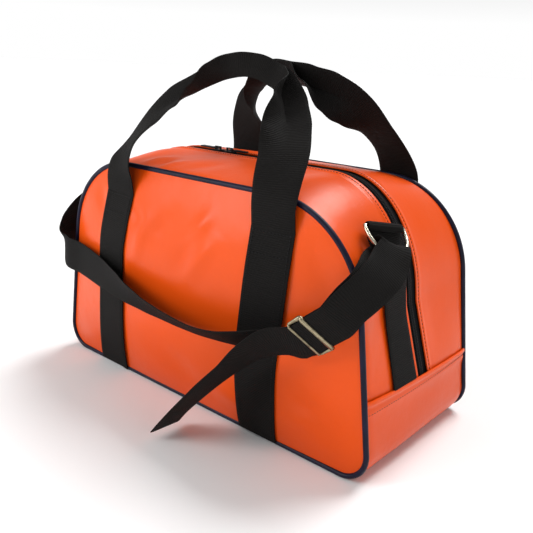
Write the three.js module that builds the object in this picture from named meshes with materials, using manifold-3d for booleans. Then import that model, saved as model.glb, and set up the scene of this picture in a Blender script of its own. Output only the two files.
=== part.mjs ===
// Holdall: a soft coated-fabric bag with a zipped top, two webbing carrying
// handles and an adjustable shoulder strap. Millimetres, +Z up, +X along the
// bag, -Y towards its front. The origin is the centre of the flat base.
import * as THREE from 'three';
import { mergeVertices } from 'three/addons/utils/BufferGeometryUtils.js';
import Module from 'manifold-3d';

const wasm = await Module();
wasm.setup();

// ---- driving dimensions -------------------------------------------------
const LENGTH = 476;             // at the floor, over the piping
const HEIGHT = 259;             // over the piping
const DEPTH = 200;              // between the two piped seams
const LEAN = 7.9;               // degrees, ends lean in going up
const TOP_RADIUS = 107;
const BOTTOM_RADIUS = 30;
const SEAM_HEIGHT = 78;         // end seam between top and lower gusset
const FABRIC = 2;               // coated fabric with its lining
const GAP = 0.3;                // left between sewn or touching pieces
const PIPING_RADIUS = 2.8;
const FRONT_BULGE = 23;         // how far a filled front panel stands out
const TOP_CROWN = 13;           // rise of the top along the zip
const SHOULDER_DENT = 8;        // fall of the end below its outline at the shoulder
const END_BULGE = 4;            // and how far it stands out at the end seam
const PIPING_PROUD = 2.5;       // piping stands this far above the gusset
const EDGE_BAND = 0.15;         // share of half the depth that curls up to the piping

const WEB = 2;                  // handle webbing thickness
const HANDLE_WIDTH = 50;
const GRIP_WIDTH = 26;          // handle webbing folded in half for the grip
const GRIP_THICK = 4.4;
const STITCH_HEIGHT = 226;      // where a handle leaves the panel
const STITCH_GAP = 0.6;         // half the space between sewn and free webbing
const LEG_FOOT = 10;            // webbing is caught in the seam at the base

const STRAP_WIDTH = 40;
const STRAP = 1.6;              // shoulder strap thickness
const RING_WIRE = 2;            // radius
const RING_HALF = 22.6;         // half the bar, to the wire's centre
const RING_DROP = 28;           // bar to the bottom of the D
const RING_BAR = [192, -41, 231.5];   // middle of the right ring's bar
const RING_ALONG = [0.36, 0.92, -0.16];
const RING_DOWN = [0.68, -0.38, -0.63];
const TAB_Y = -27.5;            // where a ring tab is sewn into the end seam

const ZIP_HALF = 10;            // half the open slot between the hems
const COIL_HALF = 3.2;
const SLIDER_LEFT = -66;
const SLIDER_RIGHT = -47;

// ---- colours --------------------------------------------------------------
const ORANGE = { color: 0xf4541a, roughness: 0.32, metalness: 0 };
const NAVY = { color: 0x1c1d38, roughness: 0.4, metalness: 0 };
const BLACK = { color: 0x17171a, roughness: 0.85, metalness: 0 };
const NYLON = { color: 0x101012, roughness: 0.5, metalness: 0 };
const BOARD = { color: 0x2a2a2c, roughness: 0.7, metalness: 0 };
const BRASS = { color: 0xa8924e, roughness: 0.3, metalness: 1 };

const bag = new THREE.Group();

const rad = (degrees) => degrees * Math.PI / 180;
const V = (x, y, z) => new THREE.Vector3(x, y, z);

function add(name, geometry, look) {
  const mesh = new THREE.Mesh(geometry, new THREE.MeshStandardMaterial(look));
  mesh.name = name;
  bag.add(mesh);
  return mesh;
}

// ---- closed solids from grids ------------------------------------------------
function signedVolume(points, faces) {
  let sum = 0;
  for (const [a, b, c] of faces) {
    sum += points[a].dot(points[b].clone().cross(points[c]));
  }
  return sum;
}

function solidFrom(points, faces) {
  const outward = signedVolume(points, faces) > 0;
  const geometry = new THREE.BufferGeometry();
  geometry.setAttribute('position', new THREE.Float32BufferAttribute(
    points.flatMap((p) => [p.x, p.y, p.z]), 3));
  geometry.setIndex(faces.flatMap(([a, b, c]) => (outward ? [a, b, c] : [a, c, b])));
  return geometry;
}

// Sections are equal-length closed rings of points, joined one to the next.
function loft(sections, closed = false) {
  const sides = sections[0].length;
  const points = sections.flat();
  const faces = [];
  const spans = closed ? sections.length : sections.length - 1;
  for (let i = 0; i < spans; i += 1) {
    const next = ((i + 1) % sections.length) * sides;
    for (let j = 0; j < sides; j += 1) {
      const k = (j + 1) % sides;
      faces.push([i * sides + j, next + j, next + k]);
      faces.push([i * sides + j, next + k, i * sides + k]);
    }
  }
  if (!closed) {
    const last = (sections.length - 1) * sides;
    for (let j = 1; j < sides / 2; j += 1) {
      const a = j - 1;
      const b = sides - j;
      const c = j;
      const d = b - 1;
      faces.push([a, c, b]);
      faces.push([last + a, last + b, last + c]);
      if (c < d) {
        faces.push([c, d, b]);
        faces.push([last + c, last + b, last + d]);
      }
    }
  }
  return solidFrom(points, faces);
}

// The same solid on the other side of the bag's middle.
function mirrored(geometry) {
  const copy = geometry.clone().scale(-1, 1, 1);
  const index = Array.from(copy.index.array);
  for (let i = 0; i < index.length; i += 3) {
    [index[i], index[i + 1]] = [index[i + 1], index[i]];
  }
  return copy.setIndex(index);
}

// A sheet: rows of points on the outer face and the matching inner face.
function sheet(outer, inner) {
  const sections = outer.map((row, i) => [...row, ...inner[i].slice().reverse()]);
  return loft(sections);
}

function toManifold(geometry) {
  const bare = geometry.clone();
  bare.deleteAttribute('normal');
  bare.deleteAttribute('uv');
  const merged = mergeVertices(bare, 1e-4);
  return new wasm.Manifold(new wasm.Mesh({
    numProp: 3,
    vertProperties: new Float32Array(merged.attributes.position.array),
    triVerts: new Uint32Array(merged.index.array),
  }));
}

function fromManifold(solid) {
  const { vertProperties, triVerts } = solid.getMesh();
  const geometry = new THREE.BufferGeometry();
  geometry.setAttribute('position', new THREE.Float32BufferAttribute(vertProperties, 3));
  geometry.setIndex(Array.from(triVerts));
  return geometry;
}

function box(low, high) {
  const size = high.map((value, i) => value - low[i]);
  const geometry = new THREE.BoxGeometry(...size);
  geometry.translate(...low.map((value, i) => value + size[i] / 2));
  return geometry;
}

function union(geometries) {
  const solids = geometries.map(toManifold);
  return fromManifold(solids.reduce((sum, solid) => sum.add(solid)));
}

// ---- side outline ------------------------------------------------------------
const lean = rad(LEAN);
const topCentre = {
  x: LENGTH / 2 - TOP_RADIUS / Math.cos(lean) - (HEIGHT - TOP_RADIUS) * Math.tan(lean),
  z: HEIGHT - TOP_RADIUS,
};
const bottomCentre = {
  x: LENGTH / 2 - BOTTOM_RADIUS / Math.cos(lean) - BOTTOM_RADIUS * Math.tan(lean),
  z: BOTTOM_RADIUS,
};

function arcStation(centre, radius, angle) {
  const nx = Math.cos(angle);
  const nz = Math.sin(angle);
  return { x: centre.x + radius * nx, z: centre.z + radius * nz, nx, nz };
}

function sideStation(z) {
  return { x: LENGTH / 2 - z * Math.tan(lean), z, nx: Math.cos(lean), nz: Math.sin(lean) };
}

// Stations on the right half, from the middle of the base up to the middle of
// the top, each with its outward normal.
function rightHalf() {
  const stations = [0, 0.35, 0.7].map((f) => ({ x: f * bottomCentre.x, z: 0, nx: 0, nz: -1 }));
  const bottomSteps = 6;
  for (let i = 0; i <= bottomSteps; i += 1) {
    const angle = -Math.PI / 2 + (Math.PI / 2 + lean) * i / bottomSteps;
    stations.push(arcStation(bottomCentre, BOTTOM_RADIUS, angle));
  }
  stations.push(sideStation(SEAM_HEIGHT - 22), sideStation(SEAM_HEIGHT), sideStation(118));
  const topSteps = 11;
  for (let i = 0; i <= topSteps; i += 1) {
    const angle = lean + (Math.PI / 2 - lean) * i / topSteps;
    stations.push(arcStation(topCentre, TOP_RADIUS, angle));
  }
  stations.push({ x: topCentre.x / 2, z: HEIGHT, nx: 0, nz: 1 });
  stations.push({ x: 0, z: HEIGHT, nx: 0, nz: 1 });
  return stations;
}

const RIGHT = rightHalf();
const mirror = (s) => ({ x: -s.x, z: s.z, nx: -s.nx, nz: s.nz });
const LOOP = [...RIGHT, ...RIGHT.slice(1, -1).reverse().map(mirror)];

const seamIndex = RIGHT.findIndex((s) => s.z === SEAM_HEIGHT);
const nudge = (s, dz) => ({ ...s, x: s.x - dz * Math.tan(lean), z: s.z + dz });

// Over the top from the right end seam to the left one, and under the base.
function overTop() {
  const half = RIGHT.slice(seamIndex);
  half[0] = nudge(half[0], GAP / 2);
  return [...half, ...half.slice(0, -1).reverse().map(mirror)];
}

function underBase() {
  const half = RIGHT.slice(0, seamIndex + 1);
  half[half.length - 1] = nudge(half[half.length - 1], -GAP / 2);
  return [...half.slice(1).reverse().map(mirror), ...half];
}

function halfWidth(z) {
  if (z > HEIGHT - TOP_RADIUS + TOP_RADIUS * Math.sin(lean)) {
    return topCentre.x + Math.sqrt(Math.max(TOP_RADIUS ** 2 - (z - topCentre.z) ** 2, 0));
  }
  if (z < BOTTOM_RADIUS + BOTTOM_RADIUS * Math.sin(lean)) {
    return bottomCentre.x + Math.sqrt(Math.max(BOTTOM_RADIUS ** 2 - (z - bottomCentre.z) ** 2, 0));
  }
  return LENGTH / 2 - z * Math.tan(lean);
}

// ---- surfaces of the filled bag -------------------------------------------------
const BULGE_POWER = 2.5;

function bulge(x, z) {
  const across = Math.min(Math.abs(x) / halfWidth(z), 1);
  const up = Math.min(Math.abs(2 * z / HEIGHT - 1), 1);
  return FRONT_BULGE * (1 - across ** BULGE_POWER) * (1 - up ** BULGE_POWER);
}

// y of a panel's outer face; side is -1 for the front and 1 for the rear
const panelY = (side, x, z) => side * (DEPTH / 2 + bulge(x, z));

// How far the gusset stands out halfway across the bag: crowned on top, dented
// at the shoulder, fuller near the end seam and flat underneath.
function puff(station) {
  if (station.nz < 0) return 0;
  if (station.z < SEAM_HEIGHT) {
    return END_BULGE * Math.max((station.z - BOTTOM_RADIUS) / (SEAM_HEIGHT - BOTTOM_RADIUS), 0);
  }
  const shoulder = (TOP_CROWN + SHOULDER_DENT) * station.nz ** 3 - SHOULDER_DENT;
  const climbed = (station.z - SEAM_HEIGHT) / (topCentre.z - SEAM_HEIGHT);
  return THREE.MathUtils.lerp(END_BULGE, shoulder, Math.min(climbed, 1));
}

// A point on the gusset at a station, a place across the bag and a depth
// below its outer face.
function gussetPoint(station, y, depth) {
  const across = y / (DEPTH / 2);
  const onBase = Math.max(-station.nz, 0) * Math.min((1 - Math.abs(across)) / EDGE_BAND, 1);
  const out = puff(station) * (1 - across ** 2) - PIPING_PROUD * (1 - onBase) - depth;
  return V(station.x + station.nx * out, y, station.z + station.nz * out);
}

const SEAM_Y = DEPTH / 2 - PIPING_RADIUS - GAP;       // gusset edge beside the piping
const PANEL_INSET = 2 * PIPING_RADIUS + GAP;          // panel edge beside the piping

function gusset(stations, ys) {
  const face = (depth) => stations.map((s) => ys.map((y) => gussetPoint(s, y, depth)));
  return sheet(face(0), face(FABRIC));
}

function panel(side) {
  const columns = [-1, -0.93, -0.8, -0.62, -0.42, -0.2, 0, 0.2, 0.42, 0.62, 0.8, 0.93, 1];
  const rows = RIGHT.filter((s, i) => i >= 3 && s.x >= topCentre.x - 1e-6);
  const face = (depth) => rows.map((s) => {
    const x = s.x - s.nx * PANEL_INSET;
    const z = s.z - s.nz * PANEL_INSET;
    return columns.map((c) => V(x * c, panelY(side, s.x * c, z) - side * depth, z));
  });
  return sheet(face(0), face(FABRIC));
}

function piping(side) {
  const sides = 8;
  const ring = (s) => Array.from({ length: sides }, (_, i) => {
    const angle = 2 * Math.PI * i / sides;
    const out = -PIPING_RADIUS + PIPING_RADIUS * Math.cos(angle);
    return V(s.x + s.nx * out, side * DEPTH / 2 + PIPING_RADIUS * Math.sin(angle), s.z + s.nz * out);
  });
  return loft(LOOP.map(ring), true);
}

// ---- shell -------------------------------------------------------------------
add('front_panel', panel(-1), ORANGE);
add('rear_panel', panel(1), ORANGE);
const gussetRows = [SEAM_Y, 84, 56, 28, ZIP_HALF];
add('top_gusset_front', gusset(overTop(), gussetRows.map((y) => -y)), ORANGE);
add('top_gusset_rear', gusset(overTop(), gussetRows), ORANGE);
add('lower_gusset', gusset(underBase(), [-SEAM_Y, -84, -45, 0, 45, 84, SEAM_Y]), ORANGE);
add('front_piping', piping(-1), NAVY);
add('rear_piping', piping(1), NAVY);

const BOARD_THICK = 3;
const boardFloor = FABRIC + GAP;
add('base_board', box([-195, -82, boardFloor], [195, 82, boardFloor + BOARD_THICK]), BOARD);

// ---- zip -----------------------------------------------------------------------
const ZIP_SLIT = 0.5;             // half the gap between the two coils
const TAPE_TOP = FABRIC + GAP;
const TAPE_THICK = 0.8;
const COIL_TOP = 0.1;
const COIL_BOTTOM = TAPE_TOP - GAP;

function zipStrip(side, near, far, top, bottom) {
  const section = (s) => [[near, top], [far, top], [far, bottom], [near, bottom]]
    .map(([y, depth]) => gussetPoint(s, side * y, depth));
  return loft(overTop().map(section));
}

for (const [side, where] of [[-1, 'front'], [1, 'rear']]) {
  const tape = zipStrip(side, ZIP_SLIT, ZIP_HALF + 6, TAPE_TOP, TAPE_TOP + TAPE_THICK);
  add(`zip_tape_${where}`, tape, BLACK);
  add(`zip_coil_${where}`, zipStrip(side, ZIP_SLIT, COIL_HALF, COIL_TOP, COIL_BOTTOM), NYLON);
}

// A slider has an upper and a lower wing joined by a blade between the coils,
// and a bridge that holds the pull.
const SLIDER_LENGTH = 13;
const SLIDER_HALF_WIDTH = 4.7;
const WING = 1.5;
const AXLE_RISE = 1.5;            // pull axle above the upper wing
const zipTop = HEIGHT + TOP_CROWN - PIPING_PROUD;

function slider(x) {
  const half = SLIDER_LENGTH / 2;
  const wingLow = zipTop - COIL_TOP + GAP;
  const wingHigh = wingLow + WING;
  const tapeLow = zipTop - TAPE_TOP - TAPE_THICK;
  const flangeLow = zipTop - TAPE_TOP + GAP;
  const flangeIn = COIL_HALF + GAP;
  const parts = [
    box([x - half, -SLIDER_HALF_WIDTH, wingLow], [x + half, SLIDER_HALF_WIDTH, wingHigh]),
    box([x - half, -SLIDER_HALF_WIDTH, tapeLow - GAP - WING], [x + half, SLIDER_HALF_WIDTH, tapeLow - GAP]),
    box([x - 2, -0.25, tapeLow - GAP - 0.5], [x + 2, 0.25, wingLow + 0.5]),
    box([x - half, -SLIDER_HALF_WIDTH, flangeLow], [x + half, -flangeIn, wingLow + 0.5]),
    box([x - half, flangeIn, flangeLow], [x + half, SLIDER_HALF_WIDTH, wingLow + 0.5]),
    box([x - 4.6, -1, wingHigh - 0.5], [x - 3.4, 1, wingHigh + 3.9]),
    box([x + 3.4, -1, wingHigh - 0.5], [x + 4.6, 1, wingHigh + 3.9]),
    box([x - 4.6, -1, wingHigh + 2.8], [x + 4.6, 1, wingHigh + 3.9]),
  ];
  return union(parts);
}

const pullAxis = zipTop - COIL_TOP + GAP + WING + AXLE_RISE;

function pull(x, way) {
  const along = (near, far) => [Math.min(way * near, way * far) + x, Math.max(way * near, way * far) + x];
  const bar = (near, far, yLow, yHigh, half) => {
    const [low, high] = along(near, far);
    return box([low, yLow, pullAxis - half], [high, yHigh, pullAxis + half]);
  };
  return union([
    bar(-0.6, 0.6, -3, 3, 0.6),
    bar(-0.6, 8, -3, -1.6, 0.6),
    bar(-0.6, 8, 1.6, 3, 0.6),
    bar(7.5, 27, -3, 3, 0.8),
  ]);
}

add('zip_slider_left', slider(SLIDER_LEFT), NYLON);
add('zip_slider_right', slider(SLIDER_RIGHT), NYLON);
add('zip_pull_left', pull(SLIDER_LEFT, -1), NYLON);
add('zip_pull_right', pull(SLIDER_RIGHT, 1), NYLON);

// ---- ribbons of webbing ---------------------------------------------------------
// A station is { at, edge, width, thick }: the middle of the webbing, the
// direction towards one chosen edge, and its section there.
function ribbonSections(stations, steps) {
  const middle = new THREE.CatmullRomCurve3(stations.map((s) => s.at), false, 'centripetal');
  const edges = new THREE.CatmullRomCurve3(stations.map((s) => s.edge.clone().normalize()));
  const last = stations.length - 1;
  const mix = (key, t) => {
    const place = t * last;
    const i = Math.min(Math.floor(place), last - 1);
    return THREE.MathUtils.lerp(stations[i][key], stations[i + 1][key], place - i);
  };
  const sections = [];
  for (let i = 0; i <= steps; i += 1) {
    const t = i / steps;
    const at = middle.getPoint(t);
    const along = middle.getTangent(t);
    const edge = edges.getPoint(t);
    if (i > 0 && i < steps) edge.addScaledVector(along, -edge.dot(along));
    edge.normalize();
    const face = along.clone().cross(edge).normalize().multiplyScalar(mix('thick', t) / 2);
    edge.multiplyScalar(mix('width', t) / 2);
    sections.push([[1, 1], [1, -1], [-1, -1], [-1, 1]]
      .map(([e, f]) => at.clone().addScaledVector(edge, e).addScaledVector(face, f)));
  }
  return sections;
}

const ribbon = (stations, steps) => loft(ribbonSections(stations, steps));

// Webbing lying flat on a panel at a place up its height.
function onPanel(side, x, z) {
  const reach = HANDLE_WIDTH / 2;
  const [low, middle, high] = [x - reach, x, x + reach].map((at) => panelY(side, at, z));
  const slope = (high - low) / HANDLE_WIDTH;
  const proud = Math.max(side * middle, side * (low + high) / 2);
  const at = V(x, side * (proud + 2 * GAP + WEB / 2), z);
  return { at, edge: V(1, slope, 0), width: HANDLE_WIDTH, thick: WEB };
}

function sewnLeg(side, foot, head) {
  const count = 9;
  const top = STITCH_HEIGHT - STITCH_GAP;
  const stations = Array.from({ length: count + 1 }, (_, i) => {
    const f = i / count;
    return onPanel(side, THREE.MathUtils.lerp(foot, head, f ** 0.7), LEG_FOOT + (top - LEG_FOOT) * f);
  });
  return ribbon(stations, 18);
}

const LEGS = {
  front_left: [-1, -138, -110],
  front_right: [-1, 103, 116],
  rear_left: [1, -120, -120],
  rear_right: [1, 116, 116],
};
for (const [name, [side, foot, head]] of Object.entries(LEGS)) {
  add(`handle_webbing_${name}`, sewnLeg(side, foot, head), BLACK);
}

// ---- carrying handles --------------------------------------------------------
// Free webbing from one stitch line over the grip to the other: where it
// runs, the way its upper edge faces, and how far it is folded (0 flat, 1 grip).
const stitchZ = STITCH_HEIGHT + STITCH_GAP;

function stitched(side, x, edgeSign) {
  const { at, edge } = onPanel(side, x, stitchZ);
  return [at.toArray(), edge.multiplyScalar(edgeSign).toArray(), 0];
}

const FRONT_ROUTE = [
  stitched(-1, -110, -1),
  [[-109, -111.5, 246], [-1, 0.06, 0], 0],
  [[-106, -111, 264], [-0.93, 0.32, 0.05], 0],
  [[-99, -101, 286], [-0.76, 0.62, 0.15], 0],
  [[-84, -82, 313], [-0.62, 0.58, 0.52], 0],
  [[-63, -63, 334], [-0.42, 0.35, 0.84], 0.1],
  [[-38, -47, 353], [-0.25, 0.45, 0.85], 0.9],
  [[-12, -37, 367], [-0.1, 0.5, 0.86], 1],
  [[15, -32, 371], [0.05, 0.5, 0.86], 1],
  [[42, -33, 366], [0.4, 0.45, 0.8], 1],
  [[66, -42, 351], [0.75, 0.4, 0.5], 0.9],
  [[84, -60, 327], [0.9, 0.42, 0.2], 0.45],
  [[102, -82, 303], [0.92, 0.38, 0.1], 0.1],
  [[112, -101, 278], [0.96, 0.28, 0], 0],
  [[115, -110, 252], [1, 0.04, 0], 0],
  stitched(-1, 116, 1),
];

const REAR_ROUTE = [
  stitched(1, -120, -1),
  [[-120, 111, 250], [-1, -0.05, 0.05], 0],
  [[-116, 106, 276], [-0.95, -0.12, 0.25], 0],
  [[-102, 93, 306], [-0.78, -0.12, 0.58], 0],
  [[-80, 75, 330], [-0.62, 0.05, 0.75], 0.15],
  [[-52, 55, 352], [-0.4, 0.1, 0.85], 0.9],
  [[-20, 41, 365], [-0.1, -0.2, 0.95], 1],
  [[12, 34, 366], [0.15, -0.2, 0.95], 1],
  [[42, 34, 358], [0.4, -0.15, 0.9], 0.95],
  [[68, 43, 344], [0.5, -0.15, 0.85], 0.3],
  [[88, 57, 327], [0.72, -0.25, 0.6], 0],
  [[105, 78, 304], [0.88, -0.35, 0.2], 0],
  [[114, 100, 278], [0.97, -0.12, -0.05], 0],
  [[116, 111, 252], [1, 0, 0], 0],
  stitched(1, 116, 1),
];

const handleStation = ([at, edge, fold]) => ({
  at: V(...at),
  edge: V(...edge),
  width: THREE.MathUtils.lerp(HANDLE_WIDTH, GRIP_WIDTH, fold),
  thick: THREE.MathUtils.lerp(WEB, GRIP_THICK, fold),
});

add('front_handle', ribbon(FRONT_ROUTE.map(handleStation), 42), BLACK);
add('rear_handle', ribbon(REAR_ROUTE.map(handleStation), 42), BLACK);

// ---- ring tabs and rings --------------------------------------------------------
// A ring's own directions: along its bar, down to the bottom of the D and away
// from the bag. The left ring mirrors the right one.
const SLEEVE_RADIUS = RING_WIRE + 2 * GAP + WEB / 2;   // webbing's middle round the bar

function ringFrame(hand) {
  const flip = (list) => V(hand * list[0], list[1], list[2]);
  const along = flip(RING_ALONG).normalize();
  const down = flip(RING_DOWN);
  down.addScaledVector(along, -down.dot(along)).normalize();
  const away = down.clone().cross(along).multiplyScalar(hand);
  return { bar: flip(RING_BAR), along, down, away };
}

function ringPoint(hand, across, drop, off) {
  const { bar, along, down, away } = ringFrame(hand);
  return bar.addScaledVector(along, across).addScaledVector(down, drop).addScaledVector(away, off);
}

// The right tab: sewn into the end seam, up the end of the bag and over the
// ring's bar.
function ringTab() {
  const barEdge = ringFrame(1).along.negate();
  const clear = -2 * GAP - WEB / 2;
  const stations = overTop().slice(0, 6).map((s, i) => {
    const shift = Math.max(i - 2, 0) / 3;
    const y = THREE.MathUtils.lerp(TAB_Y, RING_BAR[1] + 2, shift ** 1.3);
    const near = gussetPoint(s, y + STRAP_WIDTH / 2, clear);
    const far = gussetPoint(s, y - STRAP_WIDTH / 2, clear);
    const edge = far.clone().sub(near).normalize().lerp(barEdge, 0.5 * shift);
    const middle = near.lerp(far, 0.5);
    const outward = V(s.nx, 0, s.nz);
    const proud = Math.max(gussetPoint(s, y, clear).sub(middle).dot(outward), 0);
    const at = middle.addScaledVector(outward, proud + 0.4 + 4 * shift);
    return { at, edge, width: STRAP_WIDTH, thick: WEB };
  });
  const turns = [-20, 15, 50, 90, 130, 165, 195];
  for (const turn of turns) {
    const off = -SLEEVE_RADIUS * Math.cos(rad(turn));
    const at = ringPoint(1, 0, -SLEEVE_RADIUS * Math.sin(rad(turn)), off);
    stations.push({ at, edge: barEdge, width: STRAP_WIDTH, thick: WEB });
  }
  return ribbon(stations, 3 * (stations.length - 1));
}

function dRing() {
  const sides = 8;
  const squareness = 2 / 2.6;
  const arcSteps = 22;
  const path = [];
  for (let i = 0; i <= arcSteps; i += 1) {
    const a = Math.PI * i / arcSteps;
    const across = RING_HALF * Math.sign(Math.cos(a)) * Math.abs(Math.cos(a)) ** squareness;
    path.push([across, RING_DROP * Math.sin(a) ** squareness]);
  }
  path.push([-RING_HALF / 3, 0], [RING_HALF / 3, 0]);
  const centre = ringPoint(1, 0, RING_DROP * 0.4, 0);
  const { away } = ringFrame(1);
  const sections = path.map(([across, drop]) => {
    const at = ringPoint(1, across, drop, 0);
    const out = at.clone().sub(centre).normalize();
    return Array.from({ length: sides }, (_, i) => {
      const angle = 2 * Math.PI * i / sides;
      return at.clone().addScaledVector(out, RING_WIRE * Math.cos(angle))
        .addScaledVector(away, RING_WIRE * Math.sin(angle));
    });
  });
  return loft(sections, true);
}

add('right_ring_tab', ringTab(), BLACK);
add('right_d_ring', dRing(), BRASS);
add('left_ring_tab', mirrored(ringTab()), BLACK);
add('left_d_ring', mirrored(dRing()), BRASS);

// ---- shoulder strap ----------------------------------------------------------
// One length of webbing: sewn round the left ring, forward round the left end,
// across the front, through the buckle, round the right ring, back through the
// buckle on top of itself, and down to its free end.
const LOOP_RADIUS = 6;            // open loop of webbing round a ring
const LOOP_WIDTH = 28;            // webbing gathers to pass through a ring
const LOOP_DROP = 26;             // middle of that loop, below the bar
const LAYER = 2.1;                // between the middles of two layers of strap

const strapAt = (at, edge, width = STRAP_WIDTH) => ({
  at: at.isVector3 ? at : V(...at),
  edge: edge.isVector3 ? edge : V(...edge),
  width,
  thick: STRAP,
});

// Through a ring, from its inner side over the wire to its outer one.
function ringTurn(hand) {
  const edge = ringFrame(hand).along.negate();
  return [0, 45, 90, 135, 180].map((turn) => {
    const off = -LOOP_RADIUS * Math.cos(rad(turn));
    const drop = LOOP_DROP - LOOP_RADIUS * Math.sin(rad(turn));
    return strapAt(ringPoint(hand, 0, drop, off), edge, LOOP_WIDTH);
  });
}

const BUCKLE_AT = V(182, -131, 147);
const BUCKLE_ALONG = V(0.75, 0.2, 0.63).normalize();
const BUCKLE_EDGE = V(-0.34, -0.57, 0.75);
BUCKLE_EDGE.addScaledVector(BUCKLE_ALONG, -BUCKLE_EDGE.dot(BUCKLE_ALONG)).normalize();
const BUCKLE_FACE = BUCKLE_ALONG.clone().cross(BUCKLE_EDGE);

const atBuckle = (along, off) => strapAt(BUCKLE_AT.clone().addScaledVector(BUCKLE_ALONG, along)
  .addScaledVector(BUCKLE_FACE, off), BUCKLE_EDGE);

// The straight run that the buckle slides on, inner layer at 0, outer at LAYER.
const straightRun = (off) => [-20, -14, 0, 12, 24, 28].map((along) => atBuckle(along, off));

// Outer layer from the buckle to the ring, with how far the inner layer lies
// behind it and how far that one is shifted towards its upper edge.
const RING_RUN = [
  { at: [213, -118, 181], edge: [-0.42, -0.5, 0.76], behind: 3.5, shift: 1.5 },
  { at: [218, -102, 193], edge: [-0.36, -0.6, 0.72], behind: 5.5, shift: 3 },
  { at: [219, -84, 202], edge: [-0.34, -0.74, 0.58], behind: 8, shift: 4, width: 37 },
  { at: [216, -67, 209], edge: [-0.35, -0.88, 0.32], behind: 10.5, shift: 2, width: 32 },
];

const outerRun = RING_RUN.map(({ at, edge, width }) => strapAt(at, edge, width));
const innerRun = RING_RUN.map(({ behind, shift }, i) => {
  const { at, edge, width } = outerRun[i];
  const before = i > 0 ? outerRun[i - 1].at : atBuckle(24, LAYER).at;
  const after = i < RING_RUN.length - 1 ? outerRun[i + 1].at : ringTurn(1)[4].at;
  const side = edge.clone().normalize();
  const face = after.clone().sub(before).cross(side).normalize();
  return strapAt(at.clone().addScaledVector(face, -behind).addScaledVector(side, shift), edge, width);
});

const STRAP_ROUTE = [
  strapAt([-214, -79, 184], [-0.3, -0.75, 0.55], 37),
  strapAt([-211, -66, 196], [-0.35, -0.88, 0.32], 33),
  ...ringTurn(-1),
  strapAt([-221, -66, 200], [0.25, -0.88, 0.35], 33),
  strapAt([-228, -80, 184], [0.15, -0.8, 0.6], 37),
  strapAt([-235, -94, 160], [0.1, -0.4, 0.9]),
  strapAt([-232, -107, 141], [0.18, -0.1, 0.97]),
  strapAt([-217, -114.5, 133], [0.14, 0, 1]),
  strapAt([-190, -115, 132], [0.1, 0, 1]),
  strapAt([-141, -123, 129], [0.08, -0.05, 1]),
  strapAt([-100, -130, 125], [0.05, -0.22, 0.97]),
  strapAt([-55, -137, 120], [0.02, -0.5, 0.87]),
  strapAt([0, -142, 116], [0, -0.7, 0.7]),
  strapAt([60, -145, 116], [0, -0.8, 0.6]),
  strapAt([110, -141, 122], [-0.1, -0.75, 0.68]),
  strapAt([148, -137, 131], [-0.24, -0.65, 0.74]),
  ...straightRun(0),
  ...innerRun,
  ...ringTurn(1),
  ...outerRun.slice().reverse(),
  ...straightRun(LAYER).reverse(),
  strapAt([149, -146.5, 129], [-0.28, -0.78, 0.55]),
  strapAt([130, -150, 119], [-0.14, -0.93, 0.33]),
  strapAt([110, -153, 100], [-0.1, -0.96, 0.24]),
  strapAt([89, -156, 79], [-0.06, -0.98, 0.19]),
  strapAt([70, -159, 58], [-0.01, -0.99, 0.15]),
  strapAt([51, -162, 36], [0, -1, 0.1]),
  strapAt([37, -164, 19], [0, -1, 0.05]),
  strapAt([28, -165, 7], [0, -1, 0]),
];

add('shoulder_strap', ribbon(STRAP_ROUTE, 150), BLACK);

// Three-bar slide: two outer bars over both layers, the middle bar under them.
function buckle() {
  const inner = STRAP_WIDTH / 2 + 1;
  const outer = inner + 2.2;
  const low = -STRAP / 2 - 2 * GAP;
  const high = LAYER + STRAP / 2 + 2 * GAP;
  const deep = 2;
  const reach = 8.5;
  const parts = [
    box([-reach, -outer, low - deep], [reach, -inner, high + deep]),
    box([-reach, inner, low - deep], [reach, outer, high + deep]),
    box([-reach, -outer, high], [-reach + 2.6, outer, high + deep]),
    box([reach - 2.6, -outer, high], [reach, outer, high + deep]),
    box([-1.8, -outer, low - deep], [1.8, outer, low]),
  ];
  const solid = union(parts);
  const basis = new THREE.Matrix4().makeBasis(BUCKLE_ALONG, BUCKLE_EDGE, BUCKLE_FACE);
  solid.applyMatrix4(basis.setPosition(BUCKLE_AT));
  return solid;
}

add('strap_buckle', buckle(), BRASS);

export default bag;
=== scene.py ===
"""Holdall bag: fabric, webbing, zip and metal built round the fixed frame.

Every operator makes one piece or one group of like pieces, in metres, in the
frame's own coordinates: +Z up, +X along the bag, -Y towards its front.
"""

import math

import bpy
import numpy as np
from mathutils import Matrix, Vector, noise


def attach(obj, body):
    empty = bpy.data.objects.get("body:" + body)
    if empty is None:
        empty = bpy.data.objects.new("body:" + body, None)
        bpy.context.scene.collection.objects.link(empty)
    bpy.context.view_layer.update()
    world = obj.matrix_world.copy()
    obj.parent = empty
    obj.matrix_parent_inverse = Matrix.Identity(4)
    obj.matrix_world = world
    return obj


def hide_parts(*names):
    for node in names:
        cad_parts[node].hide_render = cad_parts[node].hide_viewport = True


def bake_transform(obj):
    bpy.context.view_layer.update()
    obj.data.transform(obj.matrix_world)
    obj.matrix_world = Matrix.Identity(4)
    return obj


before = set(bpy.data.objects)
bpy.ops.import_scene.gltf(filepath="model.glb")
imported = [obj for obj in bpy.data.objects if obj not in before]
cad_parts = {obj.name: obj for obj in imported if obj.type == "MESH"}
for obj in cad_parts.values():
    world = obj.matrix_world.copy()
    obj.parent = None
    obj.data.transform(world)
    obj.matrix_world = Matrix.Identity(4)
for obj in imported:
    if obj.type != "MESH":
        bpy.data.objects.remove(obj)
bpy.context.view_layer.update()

bl_info = {
    "name": "Holdall bag",
    "version": (1, 0, 0),
    "blender": (4, 5, 0),
    "location": "View3D > Sidebar > Holdall",
    "description": "Builds a soft holdall with webbing handles and a shoulder strap",
    "category": "Add Mesh",
}

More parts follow.
